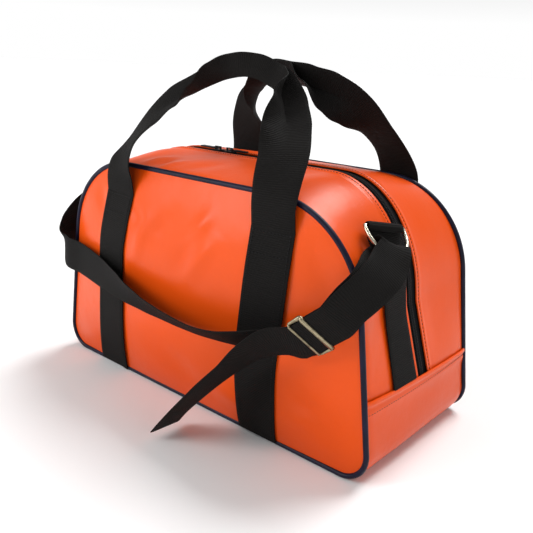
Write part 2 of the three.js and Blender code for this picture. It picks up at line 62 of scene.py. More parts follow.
MM = 0.001
RING_BAR = (0.192, -0.041, 0.2315)
RING_ALONG = (0.36, 0.92, -0.16)
RING_DOWN = (0.68, -0.38, -0.63)
BUCKLE_AT = (0.182, -0.131, 0.147)
BUCKLE_ALONG = (0.75, 0.2, 0.63)
BUCKLE_EDGE = (-0.34, -0.57, 0.75)


def unit(vector):
    vector = np.asarray(vector, float)
    return vector / np.linalg.norm(vector, axis=-1, keepdims=True)


def smoothstep(value):
    value = np.clip(value, 0, 1)
    return value * value * (3 - 2 * value)


def bell(distance, width):
    return np.exp(-((distance / width) ** 2))


# ---- settings ---------------------------------------------------------------


def length_prop(name, description, default):
    return bpy.props.FloatProperty(
        name=name, description=description, default=default, unit="LENGTH", precision=4
    )


def colour_prop(name, description, default):
    return bpy.props.FloatVectorProperty(
        name=name, description=description, default=default, subtype="COLOR", size=3, min=0, max=1
    )


class HoldallBody(bpy.types.PropertyGroup):
    """Sizes of the filled bag."""

    length: length_prop("Length", "At the floor, over the piping", 0.476)
    height: length_prop("Height", "Over the piping", 0.259)
    depth: length_prop("Depth", "Between the two piped seams", 0.2)
    lean: bpy.props.FloatProperty(
        name="Lean", description="Ends lean in going up", default=math.radians(7.9), subtype="ANGLE"
    )
    top_radius: length_prop("Top corners", "Radius of the top corners", 0.107)
    bottom_radius: length_prop("Bottom corners", "Radius of the bottom corners", 0.03)
    seam_height: length_prop("End seam", "Height of the seam across each end", 0.078)
    bulge: length_prop("Panel bulge", "How far a filled panel stands out", 0.0225)
    crown: length_prop("Top crown", "Rise of the top along the zip", 0.013)
    dent: length_prop("Shoulder dent", "Fall of the end at the shoulder", 0.008)
    end_bulge: length_prop("End bulge", "Fullness of the end at its seam", 0.004)
    fabric: length_prop("Fabric", "Thickness with the lining", 0.0014)
    piping: length_prop("Piping radius", "Radius of the piping", 0.0028)


class HoldallWebbing(bpy.types.PropertyGroup):
    """Sizes of the webbing and stitches."""

    handle_width: length_prop("Handle webbing", "Width of the handle webbing", 0.05)
    handle_thick: length_prop("Handle thickness", "Thickness of the handle webbing", 0.002)
    strap_width: length_prop("Strap webbing", "Width of the shoulder strap", 0.04)
    strap_thick: length_prop("Strap thickness", "Thickness of the shoulder strap", 0.0016)
    rib: length_prop("Rib pitch", "Distance between the webbing's ribs", 0.0021)
    stitch: length_prop("Stitch length", "Length of one stitch", 0.0026)
    pitch: length_prop("Stitch pitch", "From one stitch to the next", 0.0038)
    thread: length_prop("Thread", "Thickness of the thread", 0.0007)
    tooth: length_prop("Zip tooth pitch", "From one zip tooth to the next", 0.0017)


class HoldallFinish(bpy.types.PropertyGroup):
    """Colours of the fabric, piping, webbing and metal."""

    fabric: colour_prop("Coated fabric", "Colour of the panels", (0.86, 0.087, 0.0035))
    piping: colour_prop("Piping", "Colour of the piping", (0.007, 0.007, 0.02))
    webbing: colour_prop("Webbing", "Colour of handles and strap", (0.0068, 0.006, 0.0056))
    zip: colour_prop("Zip", "Colour of the tape and teeth", (0.006, 0.006, 0.0065))
    thread: colour_prop("Thread", "Colour of the stitches", (0.05, 0.012, 0.008))
    ring: colour_prop("Rings", "Colour of the ring wire", (0.66, 0.62, 0.50))
    buckle: colour_prop("Buckle", "Colour of the strap's slide", (0.36, 0.31, 0.2))


# ---- materials --------------------------------------------------------------


class Sock:
    """A node's output with arithmetic; every operation adds a Math node."""

    def __init__(self, kit, socket):
        self.kit = kit
        self.socket = socket

    def _math(self, operation, *values, clamp=False):
        settings = {"operation": operation, "use_clamp": clamp}
        return self.kit.node("ShaderNodeMath", settings, *values)

    def __add__(self, other):
        return self._math("ADD", self, other)

    __radd__ = __add__

    def __sub__(self, other):
        return self._math("SUBTRACT", self, other)

    def __rsub__(self, other):
        return self._math("SUBTRACT", other, self)

    def __mul__(self, other):
        return self._math("MULTIPLY", self, other)

    __rmul__ = __mul__

    def __truediv__(self, other):
        return self._math("DIVIDE", self, other)

    def sine(self):
        return self._math("SINE", self)

    def absolute(self):
        return self._math("ABSOLUTE", self)

    def part(self, axis):
        """One number of a vector: X, Y or Z."""
        split = self.kit.node("ShaderNodeSeparateXYZ", None, self)
        return Sock(self.kit, split.socket.node.outputs[axis])

    def above(self, edge, width):
        """0 below edge and 1 above it, over the given width."""
        return self._math("MULTIPLY_ADD", self, 1 / width, 0.5 - edge / width, clamp=True)


class Kit:
    """Adds nodes to a tree: node() takes a type, its settings and its values."""

    def __init__(self, tree):
        self.tree = tree

    def node(self, kind, settings=None, *values, out=0, **named):
        made = self.tree.nodes.new(kind)
        for key, value in (settings or {}).items():
            setattr(made, key, value)
        for index, value in enumerate(values):
            self._put(made.inputs[index], value)
        for key, value in named.items():
            self._put(made.inputs[key.replace("_", " ")], value)
        return Sock(self, made.outputs[out])

    def _put(self, socket, value):
        if isinstance(value, Sock):
            self.tree.links.new(value.socket, socket)
        else:
            socket.default_value = value


class Finish(Kit):
    """One node material; shader() sets the inputs of its surface."""

    def __init__(self, name):
        self.material = bpy.data.materials.new(name)
        self.material.use_nodes = True
        super().__init__(self.material.node_tree)
        self.shader_node = self.tree.nodes["Principled BSDF"]

    def place(self):
        """Object coordinates, in metres."""
        return self.node("ShaderNodeTexCoord", out="Object")

    def along(self):
        """Across and along the webbing, in metres."""
        place = self.node("ShaderNodeTexCoord", out="UV")
        return place.part("X"), place.part("Y")

    def cloud(self, scale, detail=2, rough=0.5, at=None):
        """Smooth noise about 0.5; scale is the patches in one metre."""
        place = at or self.place()
        return self.node(
            "ShaderNodeTexNoise", None, Vector=place, Scale=scale, Detail=detail, Roughness=rough
        )

    def blend(self, amount, first, second):
        """Colour between first and second."""
        made = self.tree.nodes.new("ShaderNodeMix")
        made.data_type = "RGBA"
        self._put(made.inputs["Factor"], amount)
        for socket, value in ((made.inputs[6], first), (made.inputs[7], second)):
            self._put(socket, value if isinstance(value, Sock) else (*value, 1))
        return Sock(self, made.outputs[2])

    def bump(self, height, distance, strength=1.0, under=None):
        made = self.node(
            "ShaderNodeBump", None, Strength=strength, Distance=distance, Height=height
        )
        if under:
            self._put(made.socket.node.inputs["Normal"], under)
        return made

    def shader(self, **inputs):
        for key, value in inputs.items():
            self._put(self.shader_node.inputs[key.replace("_", " ")], value)
        return self.material


def tinted(colour, factor):
    return tuple(min(channel * factor, 1) for channel in colour)


def coated_fabric(look):
    finish = Finish("tarpaulin")
    broad = finish.cloud(9, 3)
    grain = finish.cloud(1500, 2, 0.6)
    creases = finish.cloud(55, 4, 0.55)
    scuffs = finish.cloud(140, 5, 0.7).above(0.63, 0.12)
    colour = finish.blend(broad.above(0.5, 0.5), look.fabric, tinted(look.fabric, 0.93))
    colour = finish.blend(scuffs * 0.12, colour, tinted(look.fabric, 1.25))
    # Painted shade: the fabric's colour darkens towards the floor, standing in for the shadow at
    # the base of the bag.
    painted_floor_shade = 1 - finish.place().part("Z").above(0.035, 0.11)
    under = finish.bump(creases, 0.0012, 0.35)
    return finish.shader(
        Base_Color=finish.blend(painted_floor_shade * 0.7, colour, tinted(look.fabric, 0.62)),
        Roughness=0.33 + (broad - 0.5) * 0.16 + scuffs * 0.08,
        Coat_Weight=0.03 + (creases - 0.5) * 0.04,
        Coat_Roughness=0.2,
        Specular_IOR_Level=0.2,
        Normal=finish.bump(grain, 0.00006, 0.5, under),
    )


def piping_cover(look):
    finish = Finish("piping_cover")
    wear = finish.cloud(60, 3)
    grain = finish.cloud(1200, 2)
    return finish.shader(
        Base_Color=finish.blend(wear.above(0.55, 0.3), look.piping, tinted(look.piping, 1.7)),
        Roughness=0.36 + (wear - 0.5) * 0.2,
        Specular_IOR_Level=0.15,
        Normal=finish.bump(grain, 0.00008, 0.5),
    )


def webbing(name, look, rib, half):
    """Woven webbing: ribs across it, finer yarns along it and a firm edge; painted shade in its
    grooves.
    """
    finish = Finish(name)
    across, along = finish.along()
    fuzz = finish.cloud(900, 3, 0.6)
    wander = (finish.cloud(70, 2) - 0.5) * 0.0016
    ribs = ((along + wander) * (math.pi / rib)).sine().absolute()
    yarns = (across * (math.pi / 0.0011)).sine().absolute()
    edge = across.absolute().above(half - 0.0022, 0.0008)
    height = ribs * (1 - edge * 0.6) + yarns * 0.25 + fuzz * 0.3
    shade = finish.cloud(18, 3)
    # Painted shade and highlight: darker in the grooves between the ribs, lighter on their crests.
    colour = finish.blend(ribs * 0.8, tinted(look.webbing, 0.45), tinted(look.webbing, 1.25))
    colour = finish.blend(shade.above(0.5, 0.6) * 0.5, colour, tinted(look.webbing, 1.6))
    return finish.shader(
        Base_Color=colour,
        Roughness=0.6 + fuzz * 0.25,
        Specular_IOR_Level=0.1,
        Normal=finish.bump(height, 0.0004, 0.75),
    )


def zip_tape_cloth(look):
    finish = Finish("zip_tape_cloth")
    twill = finish.node(
        "ShaderNodeTexWave", {"bands_direction": "DIAGONAL"},
        Vector=finish.place(), Scale=260.0, Distortion=1.5,
    )
    return finish.shader(
        Base_Color=finish.blend(twill, tinted(look.zip, 0.8), tinted(look.zip, 2.2)),
        Roughness=0.75 + twill * 0.1,
        Specular_IOR_Level=0.1,
        Normal=finish.bump(twill, 0.0002, 0.5),
    )


def moulded_nylon(name, look):
    finish = Finish(name)
    grain = finish.cloud(700, 3)
    return finish.shader(
        Base_Color=finish.blend(grain, look.zip, tinted(look.zip, 2.4)),
        Roughness=0.35 + grain * 0.2,
        Specular_IOR_Level=0.15,
        Normal=finish.bump(grain, 0.00005, 0.4),
    )


def worn_metal(name, colour, roughness):
    finish = Finish(name)
    tarnish = finish.cloud(130, 4, 0.6)
    scratches = finish.cloud(900, 2)
    dark = tuple(channel * 0.45 for channel in colour)
    return finish.shader(
        Base_Color=finish.blend(tarnish.above(0.45, 0.3), dark, colour),
        Metallic=1.0,
        Roughness=roughness + (tarnish - 0.5) * 0.25 + scratches * 0.06,
        Normal=finish.bump(scratches, 0.00004, 0.4),
    )


def thread_fibre(look):
    finish = Finish("thread_fibre")
    twist = finish.cloud(2500, 2)
    return finish.shader(
        Base_Color=finish.blend(twist, tinted(look.thread, 0.7), tinted(look.thread, 1.4)),
        Roughness=0.6 + twist * 0.2,
        Normal=finish.bump(twist, 0.0001, 0.5),
    )


def pressed_board(look):
    finish = Finish("pressed_board")
    fibres = finish.cloud(300, 4)
    return finish.shader(
        Base_Color=finish.blend(fibres, tinted(look.zip, 3), tinted(look.zip, 6)),
        Roughness=0.8 + fibres * 0.1,
        Normal=finish.bump(fibres, 0.0002, 0.5),
    )


def finishes(scene):
    """Every material, made once."""
    if "tarpaulin" not in bpy.data.materials:
        look, cloth = scene.holdall_finish, scene.holdall_webbing
        coated_fabric(look)
        piping_cover(look)
        webbing("handle_weave", look, cloth.rib, cloth.handle_width / 2)
        webbing("strap_weave", look, cloth.rib, cloth.strap_width / 2)
        zip_tape_cloth(look)
        moulded_nylon("zip_nylon", look)
        worn_metal("ring_wire_metal", look.ring, 0.22)
        worn_metal("slide_metal", look.buckle, 0.3)
        thread_fibre(look)
        pressed_board(look)
    return bpy.data.materials


# ---- meshes -----------------------------------------------------------------


def make_piece(name, points, faces, material, body, replaces=(), uvs=None, sharp=40):
    points = np.asarray(points, float)
    faces = [list(face) for face in faces]
    mesh = bpy.data.meshes.new(name)
    mesh.from_pydata(points.tolist(), [], faces)
    if uvs is not None:
        layer = mesh.uv_layers.new(name="webbing")
        index = np.zeros(len(mesh.loops), np.int32)
        mesh.loops.foreach_get("vertex_index", index)
        layer.data.foreach_set("uv", np.asarray(uvs, np.float32)[index].ravel())
    return finish_piece(name, mesh, material, body, replaces, sharp)


def finish_piece(name, mesh, material, body, replaces=(), sharp=40):
    mesh.materials.clear()
    mesh.materials.append(bpy.data.materials[material])
    mesh.shade_smooth()
    mesh.set_sharp_from_angle(angle=math.radians(sharp))
    piece = bpy.data.objects.new(name, mesh)
    bpy.context.scene.collection.objects.link(piece)
    if body:
        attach(piece, body)
    if replaces:
        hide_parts(*replaces)
    return piece


def outward(points, faces):
    """The same faces, turned so that the closed shape has a positive volume."""
    first = np.array([[face[0], face[1], face[2]] for face in faces])
    rest = np.array([[face[0], face[2], face[3]] for face in faces if len(face) == 4])
    total = 0
    for triangles in (first, rest):
        if len(triangles):
            a, b, c = (points[triangles[:, i]] for i in range(3))
            total += np.einsum("ij,ij->", a, np.cross(b, c))
    return faces if total > 0 else [face[::-1] for face in faces]


def loft(sections, closed=False):
    """Faces over equal closed sections, (count, sides, 3), with ends capped."""
    count, sides, _ = sections.shape
    faces = []
    for i in range(count if closed else count - 1):
        here, there = i * sides, ((i + 1) % count) * sides
        for j in range(sides):
            k = (j + 1) % sides
            faces.append((here + j, there + j, there + k, here + k))
    if not closed:
        last = (count - 1) * sides
        half = sides // 2
        for j in range(half - 1):
            a, b, c, d = j, j + 1, sides - 2 - j, sides - 1 - j
            faces.append((a, b, c, d))
            faces.append((last + d, last + c, last + b, last + a))
    points = sections.reshape(-1, 3)
    return points, outward(points, faces)


def closed_sheet(outer, inner):
    """Points and faces of a sheet from the matching grids of its two faces."""
    return loft(np.concatenate([outer, inner[:, ::-1]], axis=1))


def tube_sections(path, radius, sides, normal, closed=False):
    """Round sections along a path; normal is any direction off the path."""
    path = np.asarray(path, float)
    if closed:
        ahead = np.roll(path, -1, 0) - np.roll(path, 1, 0)
    else:
        ahead = np.gradient(path, axis=0)
    ahead = unit(ahead)
    normal = np.broadcast_to(np.asarray(normal, float), path.shape)
    side = unit(np.cross(ahead, normal))
    up = np.cross(side, ahead)
    turn = np.linspace(0, 2 * np.pi, sides, endpoint=False)
    radius = np.broadcast_to(np.asarray(radius, float), (len(path),))[:, None, None]
    ring = side[:, None] * np.cos(turn)[None, :, None] + up[:, None] * np.sin(turn)[None, :, None]
    return path[:, None] + ring * radius


# ---- the filled bag ---------------------------------------------------------


class Bag:
    """Outline and surfaces of the filled bag, from its settings."""

    def __init__(self, size):
        self.size = size
        self.top = self.corner(size.top_radius, size.height - size.top_radius)
        self.low = self.corner(size.bottom_radius, size.bottom_radius)
        self.seam_y = size.depth / 2 - 0.0012

    def corner(self, radius, height):
        """Centre of a corner of this radius that touches the leaning end."""
        lean = self.size.lean
        return self.size.length / 2 - radius / math.cos(lean) - height * math.tan(lean), height

    def arc(self, centre, radius, start, end, step):
        count = max(2, round(abs(end - start) * radius / step))
        angle = np.linspace(start, end, count + 1)
        nx, nz = np.cos(angle), np.sin(angle)
        return np.stack([centre[0] + radius * nx, centre[1] + radius * nz, nx, nz], -1)

    def side(self, low, high, step):
        z = np.linspace(low, high, max(2, round((high - low) / step)) + 1)
        lean = self.size.lean
        x = self.size.length / 2 - z * math.tan(lean)
        flat = np.ones_like(z)
        return np.stack([x, z, flat * math.cos(lean), flat * math.sin(lean)], -1)

    def right_low(self, step, top=None):
        """From the middle of the base up to the end seam: x, z and the normal."""
        size = self.size
        flat_x = np.linspace(0, self.low[0], max(2, round(self.low[0] / step)) + 1)[:-1]
        flat = np.stack([flat_x, flat_x * 0, flat_x * 0, flat_x * 0 - 1], -1)
        corner = self.arc(self.low, size.bottom_radius, -math.pi / 2, size.lean, step / 2)
        rise = self.side(corner[-1][1], top or size.seam_height, step)
        return np.concatenate([flat, corner, rise[1:]])

    def right_high(self, step, bottom=None):
        """From the end seam up to the middle of the top."""
        size = self.size
        corner = self.arc(self.top, size.top_radius, size.lean, math.pi / 2, step)
        rise = self.side(bottom or size.seam_height, corner[0][1], step)
        flat_x = np.linspace(self.top[0], 0, max(2, round(self.top[0] / step)) + 1)[1:]
        flat = np.stack([flat_x, flat_x * 0 + size.height, flat_x * 0, flat_x * 0 + 1], -1)
        return np.concatenate([rise[:-1], corner, flat])

    @staticmethod
    def mirrored(stations):
        return stations[::-1] * np.array([-1, 1, -1, 1])

    def over_top(self, step, bottom=None):
        half = self.right_high(step, bottom)
        return np.concatenate([half, self.mirrored(half)[1:]])

    def under_base(self, step, top=None):
        half = self.right_low(step, top)
        return np.concatenate([self.mirrored(half), half[1:]])

    def loop(self, step):
        half = np.concatenate([self.right_low(step), self.right_high(step)[1:]])
        return np.concatenate([half, self.mirrored(half)[1:-1]])

    def half_width(self, z):
        size = self.size
        high = self.top[0] + np.sqrt(np.maximum(size.top_radius**2 - (z - self.top[1]) ** 2, 0))
        low = self.low[0] + np.sqrt(np.maximum(size.bottom_radius**2 - (z - self.low[1]) ** 2, 0))
        middle = size.length / 2 - z * math.tan(size.lean)
        top_from = self.top[1] + size.top_radius * math.sin(size.lean)
        low_to = self.low[1] + size.bottom_radius * math.sin(size.lean)
        return np.where(z > top_from, high, np.where(z < low_to, low, middle))

    def bulge(self, x, z):
        across = np.clip(np.abs(x) / self.half_width(z), 0, 1)
        up = np.clip(np.abs(2 * z / self.size.height - 1), 0, 1)
        return self.size.bulge * (1 - across**2.5) * (1 - up**2.5)

    def panel_y(self, side, x, z):
        return side * (self.size.depth / 2 + self.bulge(x, z))

    def puff(self, station):
        """How far the gusset stands out halfway across the bag."""
        size = self.size
        z, nz = station[..., 1], station[..., 3]
        low = size.end_bulge * np.clip(
            (z - size.bottom_radius) / (size.seam_height - size.bottom_radius), 0, 1
        )
        shoulder = (size.crown + size.dent) * np.clip(nz, 0, 1) ** 3 - size.dent
        climbed = np.clip((z - size.seam_height) / (self.top[1] - size.seam_height), 0, 1)
        high = size.end_bulge + (shoulder - size.end_bulge) * climbed
        return np.where(nz < -0.01, 0, np.where(z < size.seam_height, low, high))

    def gusset(self, station, y, lift=0.0):
        """A point on the gusset; lift is above its outer face."""
        station = np.asarray(station, float)
        across = y / (self.size.depth / 2)
        on_base = np.clip(-station[..., 3], 0, 1) * np.clip((1 - np.abs(across)) / 0.15, 0, 1)
        edge = smoothstep((np.abs(across) - 0.9) / 0.1) * 0.0012
        out = self.puff(station) * (1 - across**2) - 0.0025 * (1 - on_base) - edge + lift
        return np.stack(
            [
                station[..., 0] + station[..., 2] * out,
                np.broadcast_to(y, out.shape),
                station[..., 1] + station[..., 3] * out,
            ],
            -1,
        )


PANEL_CREASING = 1.5  # how deep the panels' creases are
ZIP_HALF = 0.01  # half the gap between the two top gussets
TAPE_DEPTH = 0.0021  # the zip's tapes lie this far under the fabric
TAPE_THICK = 0.0008
TOOTH_LENGTH = 0.0034
TOOTH_THICK = 0.00155
HEM_ROW = 0.0038  # from the zip's hem edge in to its stitches
END_ROW = 0.0064  # from the end seam's edge down to its stitches
EDGE_ROW = 0.0215  # from the middle of the handle webbing to its edge stitches
THREAD_LIFT = 0.0001
WEBBING_GAP = 0.0008  # sewn webbing stands this far off the panel
TAB_THICK = 0.002
SLEEVE_RADIUS = 0.0036  # of the tab's sleeve round the ring's bar

# Creases: start x, z, end x, z, half width and height, in millimetres.
FRONT_CREASES = [
    (-58, 204, -76, 158, 9, 2.2),
    (38, 226, 6, 190, 8, 2.4),
    (46, 200, 12, 158, 10, 2.4),
    (-22, 214, -40, 186, 12, -1.6),
    (20, 200, -4, 168, 9, -1.8),
    (-84, 214, -66, 196, 8, -1.6),
    (150, 70, 196, 44, 12, -2.4),
    (140, 40, 190, 58, 9, 1.4),
    (-160, 226, -140, 200, 10, -1.5),
    (160, 214, 186, 170, 16, -1.6),
    (-40, 60, 20, 36, 18, -1.6),
    (40, 44, 84, 34, 12, 1.2),
]
REAR_CREASES = [
    (-60, 214, -30, 170, 12, 2.0),
    (50, 210, 20, 176, 10, -1.8),
    (150, 80, 190, 50, 12, -2.0),
    (-150, 60, -190, 80, 13, 1.8),
]
# The same on the gusset: place along its outline and across the bag.
TOP_CREASES = [
    (-0.095, -0.088, -0.082, -0.06, 0.006, 0.0024),
    (-0.078, -0.09, -0.07, -0.066, 0.005, -0.0024),
    (-0.06, -0.092, -0.05, -0.07, 0.006, 0.002),
    (-0.03, -0.094, -0.006, -0.05, 0.012, -0.0016),
    (0.06, -0.06, 0.1, -0.03, 0.016, -0.0018),
    (0.02, 0.03, 0.09, 0.06, 0.018, -0.0018),
    (-0.12, 0.04, -0.05, 0.08, 0.016, -0.002),
]


def crease_height(first, second, creases, scale=1.0):
    """Sum of soft ridges and folds at places given by two coordinates."""
    total = 0.0
    for x0, z0, x1, z1, width, height in creases:
        start = np.array([x0, z0]) * scale
        run = np.array([x1 - x0, z1 - z0]) * scale
        dx, dz = first - start[0], second - start[1]
        along = np.clip((dx * run[0] + dz * run[1]) / (run @ run), 0, 1)
        gap = np.hypot(dx - along * run[0], dz - along * run[1])
        swell = 0.35 + 0.65 * np.sin(np.pi * along)
        total = total + height * scale * bell(gap, width * scale) * swell
    return total


def rumple(points, scale, height, seed):
    """Slow unevenness of loosely filled fabric, the same every run."""
    flat = points.reshape(-1, 3)
    values = [noise.noise(Vector(p) * scale + Vector((seed, 0, 0))) for p in flat.tolist()]
    return np.array(values).reshape(points.shape[:-1]) * height


def build_panel(bag, side, creases):
    """Outer and inner grids of a front or rear panel."""
    size = bag.size
    inset = 2 * size.piping - 0.0006
    rows = np.concatenate([bag.right_low(0.005), bag.right_high(0.005)[1:]])
    rows = rows[(rows[:, 0] >= bag.top[0] - 1e-6)]
    rows = rows[[i for i, row in enumerate(rows) if row[3] > -1 or row[0] >= bag.low[0] - 1e-6]]
    columns = np.linspace(-1, 1, 89)
    columns = columns * (1 - 0.12 * (1 - columns**2))
    x_edge = (rows[:, 0] - rows[:, 2] * inset)[:, None]
    x = x_edge * columns
    z = np.broadcast_to((rows[:, 1] - rows[:, 3] * inset)[:, None], x.shape)
    out = bag.bulge(rows[:, 0][:, None] * columns, z) + size.depth / 2
    flat = np.stack([x, out * side, z], -1)
    fade = smoothstep(bag.bulge(x, z) / (0.3 * size.bulge))
    folds = PANEL_CREASING * crease_height(x, z, creases, MM)
    out = out + fade * (folds + rumple(flat, 14, 0.0016, 3.0 + side))
    outer = np.stack([x, side * out, z], -1)
    inner = np.stack([x, side * (out - size.fabric), z], -1)
    return outer, inner


def hem_lift(distance):
    """Turned edge: double fabric near the edge, with the stitch row sunk in."""
    fold = 0.0009 * (1 - smoothstep((distance - 0.0065) / 0.0015))
    row = 0.0007 * bell(distance - HEM_ROW, 0.0012)
    return fold - row


def gusset_grid(bag, stations, ys, extra, thickness):
    grid_s = stations[:, None, :]
    outer = bag.gusset(grid_s, ys[None, :], extra)
    inner = bag.gusset(grid_s, ys[None, :], extra - thickness)
    return outer, inner


def place_along(bag, stations):
    """Distance along the outline from the middle of the top, signed with x."""
    steps = np.hypot(np.diff(stations[:, 0]), np.diff(stations[:, 1]))
    run = np.concatenate([[0], np.cumsum(steps)])
    return run[-1] / 2 - run


# ---- operators: the shell ---------------------------------------------------


def workshop(context):
    """Makes the finishes; gives the bag's shape and the sizes of its webbing."""
    finishes(context.scene)
    return Bag(context.scene.holdall_body), context.scene.holdall_webbing


class HOLDALL_OT_panels(bpy.types.Operator):
    """Make the front and rear panels"""

    bl_idname = "holdall.panels"
    bl_label = "Panels"

    def execute(self, context):
        bag, _ = workshop(context)
        for side, where, creases in ((-1, "front", FRONT_CREASES), (1, "rear", REAR_CREASES)):
            outer, inner = build_panel(bag, side, creases)
            points, faces = closed_sheet(outer, inner)
            panel = make_piece(
                f"{where}_panel_fabric", points, faces, "tarpaulin", "bag",
                [f"{where}_panel"], sharp=60,
            )
        return {"FINISHED"}


class HOLDALL_OT_gussets(bpy.types.Operator):
    """Make the top gussets and the base with its raised ends"""

    bl_idname = "holdall.gussets"
    bl_label = "Gussets"

    def execute(self, context):
        bag, _ = workshop(context)
        size = bag.size
        stations = bag.over_top(0.005, size.seam_height - 0.004)
        run = place_along(bag, stations)[:, None]
        for side, where in ((-1, "front"), (1, "rear")):
            near = np.array([0, 0.0012, 0.0026, 0.0038, 0.005, 0.0062, 0.0072, 0.0084, 0.012])
            ys = np.concatenate([ZIP_HALF + near, np.linspace(0.026, bag.seam_y, 18)])
            grid = bag.gusset(stations[:, None, :], side * ys[None, :])
            fade = smoothstep((ys - 0.018) / 0.02) * smoothstep((bag.seam_y - ys) / 0.006)
            extra = crease_height(run, side * ys[None, :], TOP_CREASES)
            extra = (extra + rumple(grid, 15, 0.0018, 11.0)) * fade[None, :]
            extra = extra + hem_lift(ys - ZIP_HALF)[None, :]
            outer, inner = gusset_grid(bag, stations, side * ys, extra, size.fabric)
            points, faces = closed_sheet(outer, inner)
            make_piece(
                f"{where}_top_fabric", points, faces, "tarpaulin", "bag",
                [f"top_gusset_{where}"], sharp=60,
            )
        self.base(bag, size)
        return {"FINISHED"}

    def base(self, bag, size):
        hem = 0.0135
        stations = bag.under_base(0.0045, size.seam_height - 0.012)
        top_z = np.array([0.0105, 0.009, 0.0075, 0.006, 0.0045, 0.003, 0.0015, 0.0])
        edge = bag.side(0, 1, 1)[:1]
        rows = np.repeat(edge, len(top_z), 0)
        rows[:, 1] = size.seam_height - top_z
        rows[:, 0] = size.length / 2 - rows[:, 1] * math.tan(size.lean)
        stations = np.concatenate([bag.mirrored(rows), stations, rows])
        ys = np.linspace(-bag.seam_y, bag.seam_y, 49)
        below = size.seam_height - stations[:, 1]
        welt = 0.0018 * bell(below - 0.0022, 0.0024) + 0.0006 * smoothstep((hem - below) / 0.003)
        sunk = 0.0007 * bell(below - END_ROW, 0.0014)
        lap = 0.0012 * smoothstep((0.02 - below) / 0.012)
        grid = bag.gusset(stations[:, None, :], ys[None, :])
        loose = smoothstep((grid[..., 2] - 0.004) / 0.02) * smoothstep((0.06 - grid[..., 2]) / 0.02)
        wavy = rumple(grid, 16, 0.0018, 23.0) * loose
        extra = (welt - sunk + lap)[:, None] + wavy
        outer, inner = gusset_grid(bag, stations, ys, extra, size.fabric)
        rise = 0.0035 - 0.0035 * ys[None, :] / bag.seam_y
        near = smoothstep((0.03 - below) / 0.03)[:, None] * (stations[:, 3:] > -0.5)
        for grid in (outer, inner):
            grid[..., 2] += rise * near
            grid[..., 0] -= np.sign(stations[:, :1]) * rise * near * math.tan(size.lean)
        points, faces = closed_sheet(outer, inner)
        make_piece(
            "base_fabric", points, faces, "tarpaulin", "bag", ["lower_gusset"],
            sharp=60,
        )


class HOLDALL_OT_piping(bpy.types.Operator):
    """Make the piping round the front and rear panels"""

    bl_idname = "holdall.piping"
    bl_label = "Piping"

    def execute(self, context):
        bag, _ = workshop(context)
        size, loop = bag.size, bag.loop(0.005)
        for side, where in ((-1, "front"), (1, "rear")):
            inside = loop[:, :2] - loop[:, 2:] * size.piping
            seam = np.full(len(loop), side * size.depth / 2)
            path = np.stack([inside[:, 0], seam, inside[:, 1]], -1)
            sections = tube_sections(path, size.piping, 14, (0, 1, 0), closed=True)
            points, faces = loft(sections, closed=True)
            make_piece(
                f"{where}_piping_cord", points, faces, "piping_cover", "bag",
                [f"{where}_piping"],
            )
        return {"FINISHED"}


# ---- geometry node trees ----------------------------------------------------


END_TAPER = 2.4  # how much a stitch or tooth narrows towards its ends


def repeat_tree(name, material, pitch):
    """Small rounded bars at an even pitch along the paths of an edge mesh."""
    tree = bpy.data.node_groups.new(name, "GeometryNodeTree")
    tree.interface.new_socket("Paths", in_out="INPUT", socket_type="NodeSocketGeometry")
    for label, value in (("Pitch", pitch), ("Length", 0.002), ("Thickness", 0.001)):
        socket = tree.interface.new_socket(label, in_out="INPUT", socket_type="NodeSocketFloat")
        socket.default_value = value
    across = tree.interface.new_socket("Lie across", in_out="INPUT", socket_type="NodeSocketBool")
    across.default_value = False
    tree.interface.new_socket("Bars", in_out="OUTPUT", socket_type="NodeSocketGeometry")
    kit = Kit(tree)
    given = {socket.name: Sock(kit, socket) for socket in tree.nodes.new("NodeGroupInput").outputs}
    paths = kit.node("GeometryNodeMeshToCurve", Mesh=given["Paths"])
    points = kit.node(
        "GeometryNodeResampleCurve", {"mode": "LENGTH"}, Curve=paths, Length=given["Pitch"]
    )
    bar = kit.node(
        "GeometryNodeMeshCylinder", Vertices=6, Side_Segments=3,
        Radius=given["Thickness"] * 0.5, Depth=given["Length"],
    )
    place = kit.node("GeometryNodeInputPosition")
    ratio = place.part("Z") / given["Length"]
    narrow = 1 - ratio * ratio * END_TAPER
    slim = kit.node("ShaderNodeCombineXYZ", X=narrow, Y=narrow, Z=1.0)
    moved = kit.node("ShaderNodeVectorMath", {"operation": "MULTIPLY"}, place, slim)
    rounded = kit.node("GeometryNodeSetPosition", Geometry=bar, Position=moved)
    way = kit.node("GeometryNodeSwitch", {"input_type": "VECTOR"}, given["Lie across"],
                   kit.node("GeometryNodeInputTangent"), (0, 1, 0))
    turned = kit.node("FunctionNodeAlignRotationToVector", {"axis": "Z"}, Vector=way)
    copies = kit.node(
        "GeometryNodeInstanceOnPoints", Points=points, Instance=rounded, Rotation=turned
    )
    real = kit.node("GeometryNodeRealizeInstances", Geometry=copies)
    thread = bpy.data.materials[material]
    coat = kit.node("GeometryNodeSetMaterial", Geometry=real, Material=thread)
    tree.links.new(coat.socket, tree.nodes.new("NodeGroupOutput").inputs[0])
    return tree


